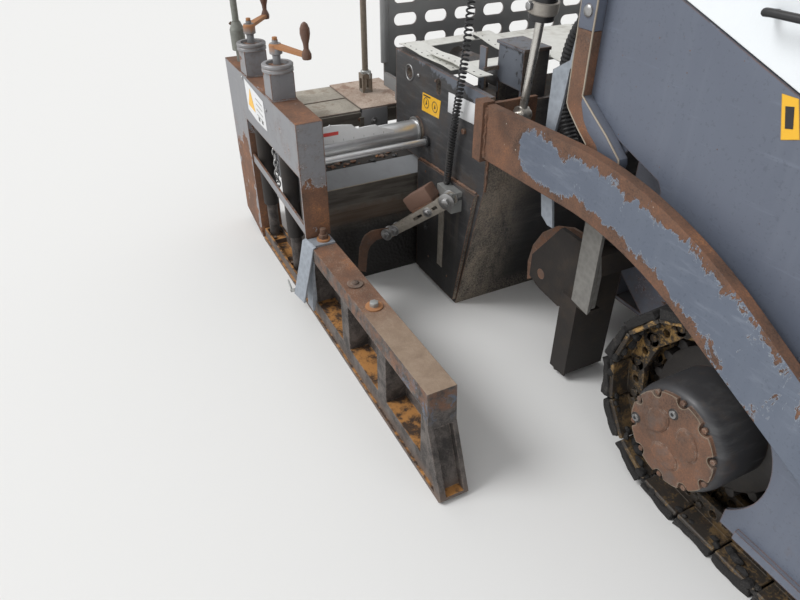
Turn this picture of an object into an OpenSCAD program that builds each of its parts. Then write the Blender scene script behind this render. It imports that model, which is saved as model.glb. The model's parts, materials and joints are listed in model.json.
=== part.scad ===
// Compact tracked asphalt paver with a telescoping screed.
// Frame: +X forward, +Y to the machine's left, +Z up, origin on the ground under the middle.
// Every side piece is drawn for the right side (negative Y) and mirrored for the left.

/* [Tracks] */
// Height of the track loop over the pads
track_h = 660; // [600:5:700]
// X of the rear sprocket's axle
sprocket_x = -175; // [-220:5:-120]
// Distance from sprocket axle to front idler axle
wheelbase = 1950; // [1850:10:2050]
// Outer face of the track, from the middle of the machine
track_out = 900; // [890:1:910]
// Width of a shoe
shoe_w = 250; // [220:5:270]
// Number of shoes in one loop
n_shoes = 44; // [40:1:46]
// Thickness of a rubber pad
pad_t = 30; // [24:1:36]
// Height of a chain link
link_h = 60; // [50:1:66]
// Diameter of the final drive's drum
drum_d = 300; // [260:5:320]

/* [Chassis] */
// Outer face of the chassis walls, from the middle
chassis_half = 620; // [600:2:630]
// Thickness of a chassis wall
wall_t = 20; // [12:1:24]
// Rear end of the chassis walls
chassis_rear = -790; // [-810:5:-770]
// From the front idler's axle to the front end of the chassis walls
front_reach = 505; // [470:5:520]
// Top of the conveyor floor
floor_z = 300; // [280:5:320]
// Half width of the conveyor tunnel
tunnel_half = 280; // [250:5:300]
// Underside of the engine bed over the tunnel
bed_z = 720; // [710:2:740]
// Rear face of the wall between the hopper and the engine
hopper_x = 1130; // [1125:1:1140]
// Top of the operator's floor
deck_z = 1250; // [1230:5:1260]

/* [Bodywork] */
// Outer face of the side panels, from the middle
panel_out = 880; // [870:1:885]
// Thickness of a side panel
panel_t = 8; // [5:1:10]
// Lower edge of the side panels over the track
panel_low = 672; // [668:1:690]
// Top edge of the side panels along the hood
panel_top = 1200; // [1180:5:1210]
// Top of the engine hood
hood_top = 1600; // [1560:5:1640]
// Rear face of the hood lid
hood_rear = 150; // [145:1:160]
// Front face of the hood lid
hood_front = 1105; // [1090:5:1115]
// Sheet thickness of hood and fairing
sheet_t = 8; // [5:1:12]

/* [Hopper] */
// Height of a wing's hinge line
wing_hinge_z = 715; // [710:1:725]
// Length of a wing's floor across the machine
wing_reach = 690; // [640:5:720]
// Slope of a wing's floor, degrees
wing_slope = 15; // [12:1:18]
// Height of a wing's outer wall
wing_wall_h = 300; // [240:5:320]
// Plate thickness of a wing
wing_t = 12; // [8:1:14]
// Diameter of a push roller
roller_d = 110; // [90:2:120]
// From the push beam's front face to the push rollers' axis
roller_reach = 90; // [85:1:100]
// Height of the push rollers' axis
roller_z = 450; // [420:5:480]

/* [Auger] */
// X of the auger's axis
auger_x = -970; // [-990:5:-960]
// Height of the auger's axis
auger_z = 330; // [310:5:350]
// Diameter of the auger flights
auger_d = 300; // [260:5:310]
// Pitch of the auger flights
auger_pitch = 260; // [220:10:300]

/* [Tow arms] */
// Outer face of a tow arm, from the middle
arm_out = 956; // [950:1:965]
// Thickness of a tow arm
arm_t = 30; // [24:1:34]
// X of the tow pins
tow_x = 1000; // [980:5:1020]
// Height of the tow pins
tow_z = 402; // [390:1:415]
// Diameter of a tow pin
tow_pin_d = 40; // [30:1:50]

/* [Screed] */
// Outer face of the main screed's side plates, from the middle
screed_half = 900; // [895:1:902]
// Thickness of a side plate
side_t = 20; // [14:1:24]
// Top of the main screed
screed_top = 913; // [900:1:925]
// Front of the main screed
screed_front = -1200; // [-1205:1:-1195]
// Rear edge of the main screed's sole
sole_rear = -1670; // [-1680:1:-1660]
// Rear edge of the side plates over the extension
screed_rear = -1897; // [-1910:1:-1885]
// X of the telescoping tubes
tube_x = -1700; // [-1705:1:-1695]
// Height of the telescoping tubes
tube_z = 640; // [630:1:650]
// Diameter of the telescoping tubes
tube_d = 85; // [70:1:95]
// X of the extension cylinders' rods
rod_x = -1615; // [-1620:1:-1608]
// Height of the extension cylinders' rods
rod_z = 620; // [610:1:630]
// Diameter of the extension cylinders' rods
rod_d = 26; // [20:1:32]

/* [Extensions] */
// How far the inner face of the end gate stands out from the middle
gate_in = 1360; // [1350:1:1365]
// Width of the end gate
gate_w = 100; // [90:1:110]
// Front wall of the extension box
ext_front = -1705; // [-1712:1:-1700]
// Rear wall of the extension box
ext_rear = -2060; // [-2070:1:-2040]
// Front edge of the extension's top
ext_edge_z = 450; // [430:1:460]
// Top of the extension box
ext_top = 495; // [480:1:505]
// Inner end of the extension box, from the middle
ext_in = 500; // [490:1:520]
// Plate thickness of the extension box
ext_t = 12; // [8:1:16]
// Top of the walkway boards
board_z = 620; // [600:1:630]

/* [End gates] */
// Front face of the portal
portal_front = -1546; // [-1550:1:-1540]
// Rear face of the portal
portal_rear = -2505; // [-2510:1:-2495]
// Top of the portal
portal_top = 802; // [790:1:815]
// Lower edge of the portal's front panel
window_top = 600; // [580:1:620]
// Front edge of the rear post
window_rear = -2250; // [-2260:1:-2240]
// Plate thickness of the portal
portal_t = 12; // [8:1:14]
// X of the front crank tower
tower_x = -1855; // [-1870:1:-1840]
// Distance between the two crank towers
tower_gap = 345; // [330:1:355]
// Width of a crank tower
tower_w = 92; // [84:1:96]
// Front tip of the skid beam
skid_front = -478; // [-500:1:-470]
// Height of the skid beam at the portal
skid_h = 345; // [335:1:355]
// Height of the skid beam at its tip
skid_tip_h = 360; // [350:1:370]

/* [Hidden] */
$fn = 48;

paint = [0.40, 0.42, 0.47];
dark = [0.15, 0.15, 0.16];
steel = [0.55, 0.55, 0.57];
rust = [0.47, 0.30, 0.22];
white = [0.93, 0.95, 0.97];
ochre = [0.70, 0.51, 0.24];

run_gap = 0.3;            // radial clearance of a running fit
seat_gap = 0.3;           // gap between seated pieces of different bodies
move_gap = 5;             // clearance of pieces that pass each other

axle_z = track_h / 2;
idler_x = sprocket_x + wheelbase;
chassis_front = idler_x + front_reach;
sheet_w = 12;             // plates of the tunnel and between hopper and engine
beam_d = 80;              // depth of the push beam
roller_x = chassis_front + beam_d + roller_reach;
track_mid = track_out - shoe_w / 2;
shoe_plate_t = 12;
link_top_r = axle_z - pad_t;               // outside of the shoe plates
link_r = link_top_r - shoe_plate_t;        // outside of the chain links
inner_r = link_r - link_h;                 // running face of the chain

// plate in the XZ plane that fills Y from y1 - t to y1
module plate_xz(pts, y1, t) translate([0, y1, 0]) rotate([90, 0, 0]) linear_extrude(t) polygon(pts);
// plate in the YZ plane that fills X from x0 to x0 + t
module plate_yz(pts, x0, t) translate([x0, 0, 0]) rotate([90, 0, 90]) linear_extrude(t) polygon(pts);
// round bar along Y from y0 to y1
module bar_y(x, z, r, y0, y1) translate([x, y0, z]) rotate([-90, 0, 0]) cylinder(r = r, h = y1 - y0);
// round bar along X from x0 to x1
module bar_x(y, z, r, x0, x1) translate([x0, y, z]) rotate([0, 90, 0]) cylinder(r = r, h = x1 - x0);
// block between two corners
module block(a, b) translate(a) cube(b - a);
module obround(l, w) {
  square([l - w, w], center = true);
  for (s = [-1, 1]) translate([s * (l - w) / 2, 0]) circle(w / 2);
}
module both_sides() { children(); mirror([0, 1, 0]) children(); }
module left_side() mirror([0, 1, 0]) children();
// round bar between two points
module bar(a, b, r) {
  d = b - a;
  translate(a) rotate([0, acos(d[2] / norm(d)), atan2(d[1], d[0])]) cylinder(r = r, h = norm(d));
}
function arc(c, r, a0, a1, n) = [for (i = [0:n]) c + r * [cos(a0 + (a1 - a0) * i / n), sin(a0 + (a1 - a0) * i / n)]];

// Track

// place and direction at a length s along a loop of radius r round both axles, from the top of the sprocket
function loop_len(r) = 2 * wheelbase + 2 * PI * r;
function loop_at(s, r) =
  s < wheelbase ? [sprocket_x + s, axle_z + r, 0] :
  s < wheelbase + PI * r ? let (a = (s - wheelbase) / r * 180 / PI) [idler_x + r * sin(a), axle_z + r * cos(a), -a] :
  s < 2 * wheelbase + PI * r ? [idler_x - (s - wheelbase - PI * r), axle_z - r, 180] :
  let (a = (s - 2 * wheelbase - PI * r) / r * 180 / PI) [sprocket_x - r * sin(a), axle_z - r * cos(a), 180 - a];

module loop_disc(r) {
  for (x = [sprocket_x, idler_x]) translate([x, axle_z]) circle(r, $fn = 72);
  translate([sprocket_x, axle_z - r]) square([wheelbase, 2 * r]);
}
module loop_ring(r_out, r_in) difference() { loop_disc(r_out); loop_disc(r_in); }

pad_len = 0.72 * loop_len(axle_z) / n_shoes;

module track() {
  color(dark) translate([0, -track_mid + shoe_w / 2, 0]) rotate([90, 0, 0]) linear_extrude(shoe_w) union() {
    loop_ring(link_top_r, link_r - 0.5);
    intersection() {
      loop_disc(axle_z);
      for (i = [0:n_shoes - 1]) {
        p = loop_at(i * loop_len(link_top_r) / n_shoes, link_top_r);
        translate([p[0], p[1]]) rotate(p[2]) translate([-pad_len / 2, -1]) square([pad_len, pad_t + 4]);
      }
    }
  }
  color(ochre) for (y = [-62, 30])
    translate([0, -track_mid + y + 32, 0]) rotate([90, 0, 0]) linear_extrude(32) loop_ring(link_r, inner_r);
}

frame_out = track_out - 28;                // outer plate of a track frame
frame_in = track_out - 215;                // inner plate of a track frame
frame_plate = 12;
wheel_r = 75;
wheel_x = [for (i = [0:4]) sprocket_x + 420 + i * 260];
wheel_z = axle_z - inner_r + wheel_r + seat_gap;
top_wheel_r = 60;
top_wheel_x = sprocket_x + 1000;
top_wheel_z = axle_z + inner_r - top_wheel_r - seat_gap;

function frame_outline() = concat(
  [[sprocket_x + 150, 120], [idler_x + 40, 120]],
  arc([idler_x, axle_z], 110, -60, 60, 8),
  [[idler_x - 60, 500], [sprocket_x + 330, 500], [sprocket_x + 150, 440]]);

module track_frame() {
  color(paint) difference() {
    union() {
      plate_xz(frame_outline(), -frame_in, frame_plate);
      plate_xz(frame_outline(), -frame_out + frame_plate, frame_plate);
      block([sprocket_x + 300, -frame_out + frame_plate, 275], [idler_x - 260, -frame_in - frame_plate, 425]);
      block([sprocket_x + 330, -frame_in, 300], [sprocket_x + 480, -chassis_half, 420]);
      block([idler_x - 500, -frame_in, 300], [idler_x - 350, -chassis_half, 420]);
    }
    bar_y(sprocket_x, axle_z, 218, -track_out, -frame_in + 1);
  }
  // guard rail along the lower edge and the idler's bearing
  color(rust) {
    block([sprocket_x + 200, -frame_out - 14, 121], [idler_x - 60, -frame_out, 150]);
    bar_y(idler_x, axle_z, 62, -frame_out - 12, -frame_out);
    for (x = wheel_x) bar_y(x, wheel_z, 30, -frame_out - 10, -frame_out);
  }
}

// cover of the final drive with its notched rim and three raised lobes
module drive_cover(y0) {
  cover_bolts = 10;
  difference() {
    bar_y(sprocket_x, axle_z, drum_d / 2, y0, y0 + 26);
    // notches in the rim, one for each bolt
    for (i = [0:cover_bolts - 1]) let (a = (i + 0.5) * 360 / cover_bolts)
      bar_y(sprocket_x + (drum_d / 2 - 4) * cos(a), axle_z + (drum_d / 2 - 4) * sin(a), 17, y0 - 1, y0 + 12);
  }
  for (a = [90, 210, 330])
    translate([sprocket_x, y0 - 6, axle_z]) rotate([0, a, 0]) translate([60, 0, 0]) rotate([-90, 0, 0])
      scale([1, 1.45, 1]) cylinder(r = 29, h = 8);
}

module final_drive() {
  drum_y = -track_out - 40;
  color(rust) drive_cover(drum_y - 26);
  color(dark) {
    bar_y(sprocket_x, axle_z, drum_d / 2 - 6, drum_y, -track_mid - 20);
    bar_y(sprocket_x, axle_z, 205, -track_mid - 20, -track_mid + 20);
    for (a = [0:20:340]) translate([sprocket_x, -track_mid, axle_z]) rotate([0, a, 0])
      translate([200, -20, -14]) cube([27, 40, 28]);
    bar_y(sprocket_x, axle_z, 110, -track_mid + 20, -chassis_half);
  }
}

module wheels() {
  wheel_y0 = -frame_out + frame_plate;
  wheel_y1 = -frame_in - frame_plate;
  color(dark) {
    for (x = wheel_x) {
      bar_y(x, wheel_z, wheel_r, -track_mid - 70, -track_mid + 70);
      bar_y(x, wheel_z, 22, wheel_y0, wheel_y1);
    }
    bar_y(top_wheel_x, top_wheel_z, top_wheel_r, -track_mid - 70, -track_mid + 70);
    bar_y(top_wheel_x, top_wheel_z, 20, wheel_y0, wheel_y1);
    difference() {
      bar_y(idler_x, axle_z, inner_r - seat_gap, -track_mid - 68, -track_mid + 68);
      // dished sides of the idler
      for (y = [-track_mid - 69, -track_mid + 48]) difference() {
        bar_y(idler_x, axle_z, inner_r - 40, y, y + 21);
        bar_y(idler_x, axle_z, 60, y - 1, y + 22);
      }
    }
    bar_y(idler_x, axle_z, 35, wheel_y0, wheel_y1);
  }
}

// Chassis

wing_hinge_y = chassis_half - 20;
hopper_rim_z = wing_hinge_z - 30;
wing_pin_r = 12;

hinge_tube_x = [hopper_x + 40, 1640, chassis_front - 140];

// side walls, each with its rear end up to the deck and its front end up to the wing hinge
module chassis() color(paint) both_sides() {
  w = chassis_half;
  plate_xz([[chassis_rear, 430], [sprocket_x - 330, 210], [chassis_front, 210], [chassis_front, hopper_rim_z],
    [hopper_x, hopper_rim_z], [hopper_x, panel_top - 20], [hood_rear, panel_top - 20], [hood_rear, deck_z - 12],
    [chassis_rear, deck_z - 12]], -w + wall_t, wall_t);
  // hinge tube of the wing
  for (x = hinge_tube_x) {
    bar_x(-wing_hinge_y, wing_hinge_z, 22, x, x + 100);
    block([x, -w, hopper_rim_z], [x + 100, -w + wall_t, wing_hinge_z]);
  }
  bar_x(-wing_hinge_y, wing_hinge_z, wing_pin_r, hinge_tube_x[0], hinge_tube_x[2] + 100);
  // ears for the wing cylinder
  for (x = [cyl_x - 52, cyl_x + 36])
    difference() {
      plate_yz([[-w, 240], [-wing_pivot_y - 30, 300], [-wing_pivot_y - 30, wing_pivot_z + 30],
        [-w, wing_pivot_z + 60]], x, 16);
      bar_x(-wing_pivot_y, wing_pivot_z, 15 + run_gap, x - 1, x + 17);
    }
}

// floor, tunnel walls, engine bed, slopes of the hopper floor and front plate
module tunnel() color(paint) {
  w = chassis_half - wall_t;
  block([chassis_rear, -w, floor_z - 15], [chassis_front, w, floor_z]);
  block([chassis_rear, -w, bed_z], [hopper_x, w, bed_z + sheet_w]);
  block([chassis_front - 20, -w, 230], [chassis_front, w, floor_z]);
  both_sides() {
    block([chassis_rear, -tunnel_half - sheet_w, floor_z], [hopper_x, -tunnel_half, bed_z]);
    plate_yz([[-w, hopper_rim_z], [-tunnel_half - sheet_w, floor_z + 110], [-tunnel_half, floor_z],
      [-tunnel_half - 30, floor_z], [-w, hopper_rim_z - 30]], hopper_x + sheet_w, chassis_front - hopper_x - sheet_w);
  }
}

// plates across the machine: at the rear, and between the hopper and the engine
module bulkheads() color(paint) {
  w = chassis_half - wall_t;
  block([chassis_rear, -w, bed_z + sheet_w], [chassis_rear + 14, w, deck_z - 12]);
  block([hopper_x, -panel_out, bed_z], [hopper_x + sheet_w, panel_out, panel_top + 40]);
  both_sides() {
    block([chassis_rear, -w, floor_z], [chassis_rear + 14, -tunnel_half - sheet_w, bed_z]);
    block([hopper_x, -w, floor_z], [hopper_x + sheet_w, -tunnel_half, bed_z]);
  }
}

// brackets outside the walls: upper mounting of the lift cylinder, and tow bracket over the track
module brackets() color(paint) both_sides() {
  ear_y = lift_y + lift_ear;
  ear_head = [[lift_top_x + 60, lift_top_z + 45], [lift_top_x - 40, lift_top_z + 45],
    [lift_top_x - 40, lift_top_z - 40], [lift_top_x + 40, lift_top_z - 60]];
  difference() {
    union() {
      plate_xz(concat([[chassis_rear, 1180], [-700, 1180], [-700, 1440]], ear_head, [[chassis_rear, 1380]]),
        -lift_y + lift_ear + 14, 14);
      plate_xz(concat([[panel_rear - 1, lift_top_z + 10]], ear_head, [[panel_rear - 1, lift_top_z - 110]]), -ear_y, 14);
      block([panel_rear - 15, -ear_y - 14, lift_top_z - 105], [panel_rear - 1, -lift_y + lift_ear + 14, lift_top_z]);
    }
    bar_y(lift_top_x, lift_top_z, 15 + run_gap, -ear_y - 15, -lift_y + lift_ear + 15);
  }
  block([chassis_rear, -panel_out + 2 * panel_t, 1180], [-700, -chassis_half, deck_z - 12]);
  // reaches over the track and down its outer side
  block([tow_x - 90, -arm_out - 34, track_h + 25], [tow_x + 90, -chassis_half, track_h + 85]);
  for (y = [-arm_out - 34, -arm_out + arm_t + 8])
    plate_xz([[tow_x - 75, tow_z - 60], [tow_x + 75, tow_z - 60], [tow_x + 90, track_h + 30],
      [tow_x - 90, track_h + 30]], y + 16, 16);
  bar_y(tow_x, tow_z, tow_pin_d / 2, -arm_out - 44, -arm_out + arm_t + 30);
}

chain_shaft_z = floor_z + 64;
module conveyor() color(steel) {
  for (y = [-190, 150]) {
    block([chassis_rear + 20, y, floor_z], [chassis_front - 30, y + 40, floor_z + 18]);
    // sprocket at the rear end of each chain
    bar_y(chassis_rear + 62, chain_shaft_z, 60, y + 6, y + 34);
  }
  bar_y(chassis_rear + 62, chain_shaft_z, 25, -tunnel_half, tunnel_half);
  for (x = [chassis_rear + 140:190:chassis_front - 60])
    block([x, -tunnel_half + 12, floor_z + 4], [x + 36, tunnel_half - 12, floor_z + 26]);
}

panel_rear = -797;
strip_w = 64;             // strip that carries the panel's rear edge
strip_top = 1380;
blade_y = 895;            // inner face of the blade
module side_panel() color(paint) {
  edge = [[panel_rear, 1030], [-629, 961], [-480, 912]];
  pts = concat([[panel_rear, 1418]], edge, [[-465, 890], [-465, 850], [-380, 850], [-330, panel_low],
    [hopper_x, panel_low], [hopper_x, panel_top], [-203, panel_top], [-530, 1316]]);
  difference() {
    plate_xz(pts, -panel_out + panel_t, panel_t);
    // gap for the tow bracket
    block([tow_x - 91, -panel_out - 1, panel_low - 1], [tow_x + 91, -panel_out + panel_t + 1, track_h + 86]);
  }
  // strip behind the rear edge and along the slant, set back by the panel's thickness
  plate_xz([[panel_rear - strip_w, strip_top], [panel_rear - strip_w, 990], [-765, 946], [-640, 895], [-600, 950],
    [panel_rear + 24, 1050], [panel_rear + 24, strip_top]], -panel_out + 2 * panel_t, panel_t);
  // light blade that hangs down behind the track
  plate_xz([[-828, 1182], [-800, 1182], [-800, 1110], [-833, 1097], [-843, 1010], [-859, 919], [-850, 800], [-819, 665],
    [-810, 624], [-835, 622], [-869, 641], [-903, 800], [-903, 1079], [-838, 1119]], -blade_y, panel_t);
  block([-826, -blade_y - 1, 1118], [-801, -panel_out + panel_t, 1176]);
  // fold of the strip into the machine
  block([panel_rear - strip_w, -panel_out + 2 * panel_t, 990], [panel_rear - strip_w + 8, -panel_out + 60, strip_top]);
}

module bodywork() color(white) {
  both_sides() plate_xz([[-700, 1385], [-530, 1321], [-203, panel_top + 5], [hood_rear - 8, panel_top + 5],
    [hood_rear - 8, 1590], [-120, 1590], [-300, 1480], [-700, 1480]], -panel_out + sheet_t, sheet_t);
  block([hood_rear - 16, -panel_out + sheet_t, deck_z], [hood_rear - 8, panel_out - sheet_t, hood_top - 10]);
  // folded sill on top of each side
  both_sides() block([-700, -panel_out + sheet_t - 1, 1472], [-300, -panel_out + 60, 1480]);
  // hinge pins of the lid
  for (y = [-640, 460]) {
    for (e = [0, 150]) block([hood_rear - 16, y + e, hood_top - 10], [hood_rear + 4, y + e + 30, hood_top + 16]);
    bar_y(hood_hinge_x, hood_hinge_z, 6, y, y + 180);
  }
}

hood_hinge_x = hood_rear - 4;
hood_hinge_z = hood_top + 8;

module hood_lid() color(white) {
  round_r = 60;
  difference() {
    // outer shape with rounded long edges
    hood_shape(panel_out, hood_top, round_r, hood_rear, hood_front);
    hood_shape(panel_out - sheet_t, hood_top - sheet_t, round_r - sheet_t, hood_rear + sheet_t, hood_front - sheet_t);
    for (y = [-645, 455]) block([hood_rear - 1, y, hood_top - 16], [hood_rear + 10, y + 190, hood_top + 1]);
    // radiator openings in the front and louvres in the sides
    for (z = [panel_top + 90:36:hood_top - 130]) block([hood_front - 20, -520, z], [hood_front + 1, 520, z + 22]);
    both_sides() for (x = [420:48:800])
      block([x, -panel_out - 1, panel_top + 120], [x + 26, -panel_out + 20, panel_top + 300]);
  }
  for (y = [-600, 500]) difference() {
    union() {
      bar_y(hood_hinge_x, hood_hinge_z, 12, y, y + 100);
      block([hood_hinge_x, y, hood_top - 1], [hood_rear + 30, y + 100, hood_top + 6]);
    }
    bar_y(hood_hinge_x, hood_hinge_z, 6 + run_gap, y - 1, y + 101);
  }
  // stiffening rib over the top and grab handles
  block([hood_rear + 60, -panel_out + 120, hood_top - 1], [hood_front - 60, -panel_out + 160, hood_top + 8]);
  block([hood_rear + 60, panel_out - 160, hood_top - 1], [hood_front - 60, panel_out - 120, hood_top + 8]);
}

// long box with rounded upper edges, open below
module hood_shape(half, top, r, x0, x1) translate([x0, 0, 0]) rotate([90, 0, 90]) linear_extrude(x1 - x0) union() {
  translate([-half, panel_top + 5]) square([2 * half, top - r - panel_top - 5]);
  translate([-half + r, top - r - 1]) square([2 * half - 2 * r, r + 1]);
  for (s = [-1, 1]) translate([s * (half - r), top - r]) circle(r);
}

module engine() color(dark) block([340, -330, bed_z + 12], [1000, 330, 1160]);

module platform() color(dark) {
  difference() {
    block([-800, -panel_out + 2 * panel_t + 1, deck_z - 12], [hood_rear - 16, panel_out - 2 * panel_t - 1, deck_z]);
    for (s = [-1, 1]) translate([0, s * (lift_y - lift_ear - 7), 0])
      block([-801, -10, deck_z - 13], [-695, 10, deck_z + 1]);
  }
  // ladder down the rear in the middle
  for (y = [-250, 235]) block([-812, y, 905], [-800, y + 15, deck_z]);
  for (z = [920, 1080]) block([-910, -250, z], [-800, 250, z + 14]);
}

module console() {
  color(paint) block([-10, -180, deck_z], [80, 180, 1700]);
  color(paint) plate_xz([[-120, 1700], [110, 1700], [110, 1900], [60, 1900]], 420, 840);
  // display housings, steering knob and levers
  color(dark) {
    for (y = [-330, 250]) translate([-40, y + 40, 1780]) rotate([0, -48, 0]) block([-90, -70, -2], [60, 70, 30]);
    translate([-60, -60, 1740]) rotate([0, -48, 0]) cylinder(r = 14, h = 70);
    translate([-60, -60, 1740]) rotate([0, -48, 0]) translate([0, 0, 68]) cylinder(r = 34, h = 26);
    for (y = [60, 120]) {
      translate([-60, y, 1740]) rotate([0, -48, 0]) cylinder(r = 6, h = 90);
      translate([-60, y, 1740]) rotate([0, -48, 0]) translate([0, 0, 80]) sphere(r = 17, $fn = 24);
    }
  }
}

module seats() color(dark) both_sides() {
  seat_y = 600;
  block([-560, -seat_y - 100, deck_z], [-360, -seat_y + 100, 1430]);
  block([-640, -seat_y - 220, 1430], [-220, -seat_y + 220, 1530]);
  plate_xz([[-640, 1530], [-540, 1530], [-600, 2000], [-690, 2000]], -seat_y + 200, 400);
  // armrests
  for (y = [-seat_y - 218, -seat_y + 173]) {
    block([-560, y, 1450], [-500, y + 45, 1690]);
    block([-580, y, 1680], [-300, y + 45, 1720]);
  }
}

rail_r = 19;
rail_y = -panel_out + 2 * panel_t + 1 + rail_r;
module handrails() color(ochre) both_sides() {
  rear_x = -770;
  front_x = -150;
  rail_top = 2080;
  bend = 90;
  for (x = [rear_x, front_x]) bar([x, rail_y, deck_z], [x, rail_y, rail_top - bend], rail_r);
  bar([rear_x + bend, rail_y, rail_top], [front_x - bend, rail_y, rail_top], rail_r);
  for (z = [1600, 1840]) bar([rear_x, rail_y, z], [front_x, rail_y, z], rail_r - 5);
  // bends
  for (e = [[rear_x + bend, 90], [front_x - bend, 0]])
    translate([e[0], rail_y, rail_top - bend]) rotate([90, 0, 0]) rotate([0, 0, e[1]])
      rotate_extrude(angle = 90) translate([bend, 0]) circle(rail_r);
  for (x = [rear_x, front_x]) block([x - 42, rail_y - rail_r - 0.5, deck_z], [x + 42, rail_y + 32, deck_z + 8]);
}

module exhaust() color(steel) {
  bar([60, 760, deck_z], [60, 760, 2060], 38);
  bar([60, 760, 1300], [60, 760, 1640], 62);
  // bent outlet that points back
  translate([0, 760, 2060]) rotate([90, 0, 0]) rotate_extrude(angle = 60) translate([60, 0]) circle(38);
}

module lamps() color(steel) both_sides() {
  difference() {
    union() {
      block([-180, rail_y - 30, 1880], [-120, rail_y + 30, 1940]);
      block([-120, rail_y - 60, 1860], [-60, rail_y + 60, 1960]);
    }
    bar([-150, rail_y, 1800], [-150, rail_y, 2000], rail_r + seat_gap);
    block([-72, rail_y - 50, 1870], [-59, rail_y + 50, 1950]);
  }
}

module push_beam() color(paint) {
  x1 = chassis_front + beam_d;
  block([chassis_front, -700, 350], [x1, 700, 540]);
  for (y = [-690, -80, 40, 650]) difference() {
    plate_xz([[x1, 370], [roller_x + 30, roller_z - 30], [roller_x + 30, roller_z + 30], [x1, 530]], y + 40, 40);
    bar_y(roller_x, roller_z, 15 + run_gap, y - 1, y + 41);
  }
  // stiffening ribs on the beam's face
  for (y = [-450, -250, 225, 425]) block([x1 - 1, y, 362], [x1 + 14, y + 25, 385]);
  // tie-down eyes under the beam
  both_sides() difference() {
    plate_xz(concat([[eye_x + 45, 351]], [[eye_x - 45, 351]], arc([eye_x, eye_z], 42, 180, 360, 12)), -560, 20);
    bar_y(eye_x, eye_z, eye_r, -581, -559);
  }
}

eye_x = chassis_front + 50;
eye_z = 305;
eye_r = 22;

module push_roller() color(steel) {
  bar_y(roller_x, roller_z, roller_d / 2, -645, -85);
  bar_y(roller_x, roller_z, 15, -688, -42);
}

// Hopper wings

eye_pin_r = 14;
wing_rod_r = 15;
rod_in = 140;
cyl_x = idler_x + axle_z + 85;
wing_pivot_y = 670;
wing_pivot_z = 330;
lug_u = 1060;
lug_z = wing_hinge_z + (lug_u - wing_hinge_y) * tan(wing_slope) - (wing_t - 4) / cos(wing_slope) - 30;

module wing() color(paint) {
  h = wing_hinge_z;
  c = cos(wing_slope);
  s = sin(wing_slope);
  x0 = hopper_x + 24;
  x1 = chassis_front + 10;
  u = function (a, b) [-wing_hinge_y - a * c + b * s, h + a * s + b * c];
  // floor and outer wall
  plate_yz([u(28, 4), u(wing_reach, 4), u(wing_reach + 60, wing_wall_h), u(wing_reach + 60 + wing_t, wing_wall_h),
    u(wing_reach + wing_t, 4 - wing_t), u(28, 4 - wing_t)], x0, x1 - x0);
  // rear end plate
  plate_yz([u(30, 0), u(wing_reach, 0), u(wing_reach + 60, wing_wall_h), u(120, 220)], x0, 10);
  // hinge lugs
  for (x = [hopper_x + 145, 1745]) difference() {
    union() {
      bar_x(-wing_hinge_y, h, 22, x, x + 90);
      plate_yz([u(0, 4), u(60, 4), u(60, -8), u(0, -22)], x, 90);
    }
    bar_x(-wing_hinge_y, h, wing_pin_r + run_gap, x - 1, x + 91);
  }
  // lug of the wing cylinder
  lug_a = (lug_u - wing_hinge_y) / c;
  for (x = [cyl_x - 38, cyl_x + 24])
    plate_yz([u(lug_a - 46, 0), u(lug_a + 64, 0), [-lug_u - 28, lug_z - 20], [-lug_u + 28, lug_z - 28]], x, 14);
}

wing_len = norm([lug_u - wing_pivot_y, lug_z - wing_pivot_z]);
module along_wing_cyl() translate([cyl_x, -wing_pivot_y, wing_pivot_z])
  rotate([atan2(lug_u - wing_pivot_y, lug_z - wing_pivot_z), 0, 0]) children();

module wing_barrel() color(dark) along_wing_cyl() {
  rotate([0, 90, 0]) cylinder(r = 15, h = 100, center = true);
  rotate([0, 90, 0]) cylinder(r = 30, h = 60, center = true);
  difference() {
    translate([0, 0, 20]) cylinder(r = 32, h = 400);
    translate([0, 0, rod_in - 25]) cylinder(r = wing_rod_r + run_gap, h = 320);
  }
}

module wing_rod() color(steel) along_wing_cyl() {
  translate([0, 0, rod_in]) cylinder(r = wing_rod_r, h = wing_len - rod_in - 20);
  translate([0, 0, wing_len]) rotate([0, 90, 0]) cylinder(r = 24, h = 36, center = true);
}

// Auger

col_x = -766;             // scraper column in front of the track
col_y = 800;
module auger_support() color(dark) {
  // chain case in the middle
  difference() {
    plate_xz(concat(arc([auger_x, auger_z], 110, 120, 360, 16), [[auger_x + 110, 500], [chassis_rear, 560],
      [chassis_rear, 800], [auger_x + 20, 800], [auger_x - 55, 700]]), 50, 100);
    bar_y(auger_x, auger_z, 20 + run_gap, -51, 51);
  }
  both_sides() {
    // outer bearing plate
    difference() {
      plate_xz([[-1030, 290], [auger_x, 270], [-860, 260], [-700, 350], [-700, 550], [-900, 550], [-1030, 380]], -770, 15);
      bar_y(auger_x, auger_z, 20 + run_gap, -786, -769);
    }
    block([-780, -770, 470], [-700, -chassis_half, 550]);
    // column that scrapes in front of the track
    block([col_x - 16, -col_y, 340], [col_x + 66, -col_y + 12, 640]);
    block([col_x - 16, -col_y, 340], [col_x - 6, -col_y + 50, 640]);
    block([col_x - 6, -col_y + 12, 540], [col_x + 66, -770, 550]);
    // box at its foot
    block([col_x - 66, -col_y, 22], [col_x - 54, -col_y + 14, 340]);
    block([col_x - 66, -col_y, 22], [col_x + 14, -col_y + 6, 340]);
    block([col_x + 2, -col_y, 30], [col_x + 14, -630, 452]);
    block([col_x - 66, -col_y, 330], [col_x + 66, -col_y + 52, 342]);
    plate_xz([[col_x - 40, 14], [col_x + 14, 34], [col_x + 14, 44], [col_x - 46, 22]], -640, col_y - 640);
  }
}

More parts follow.
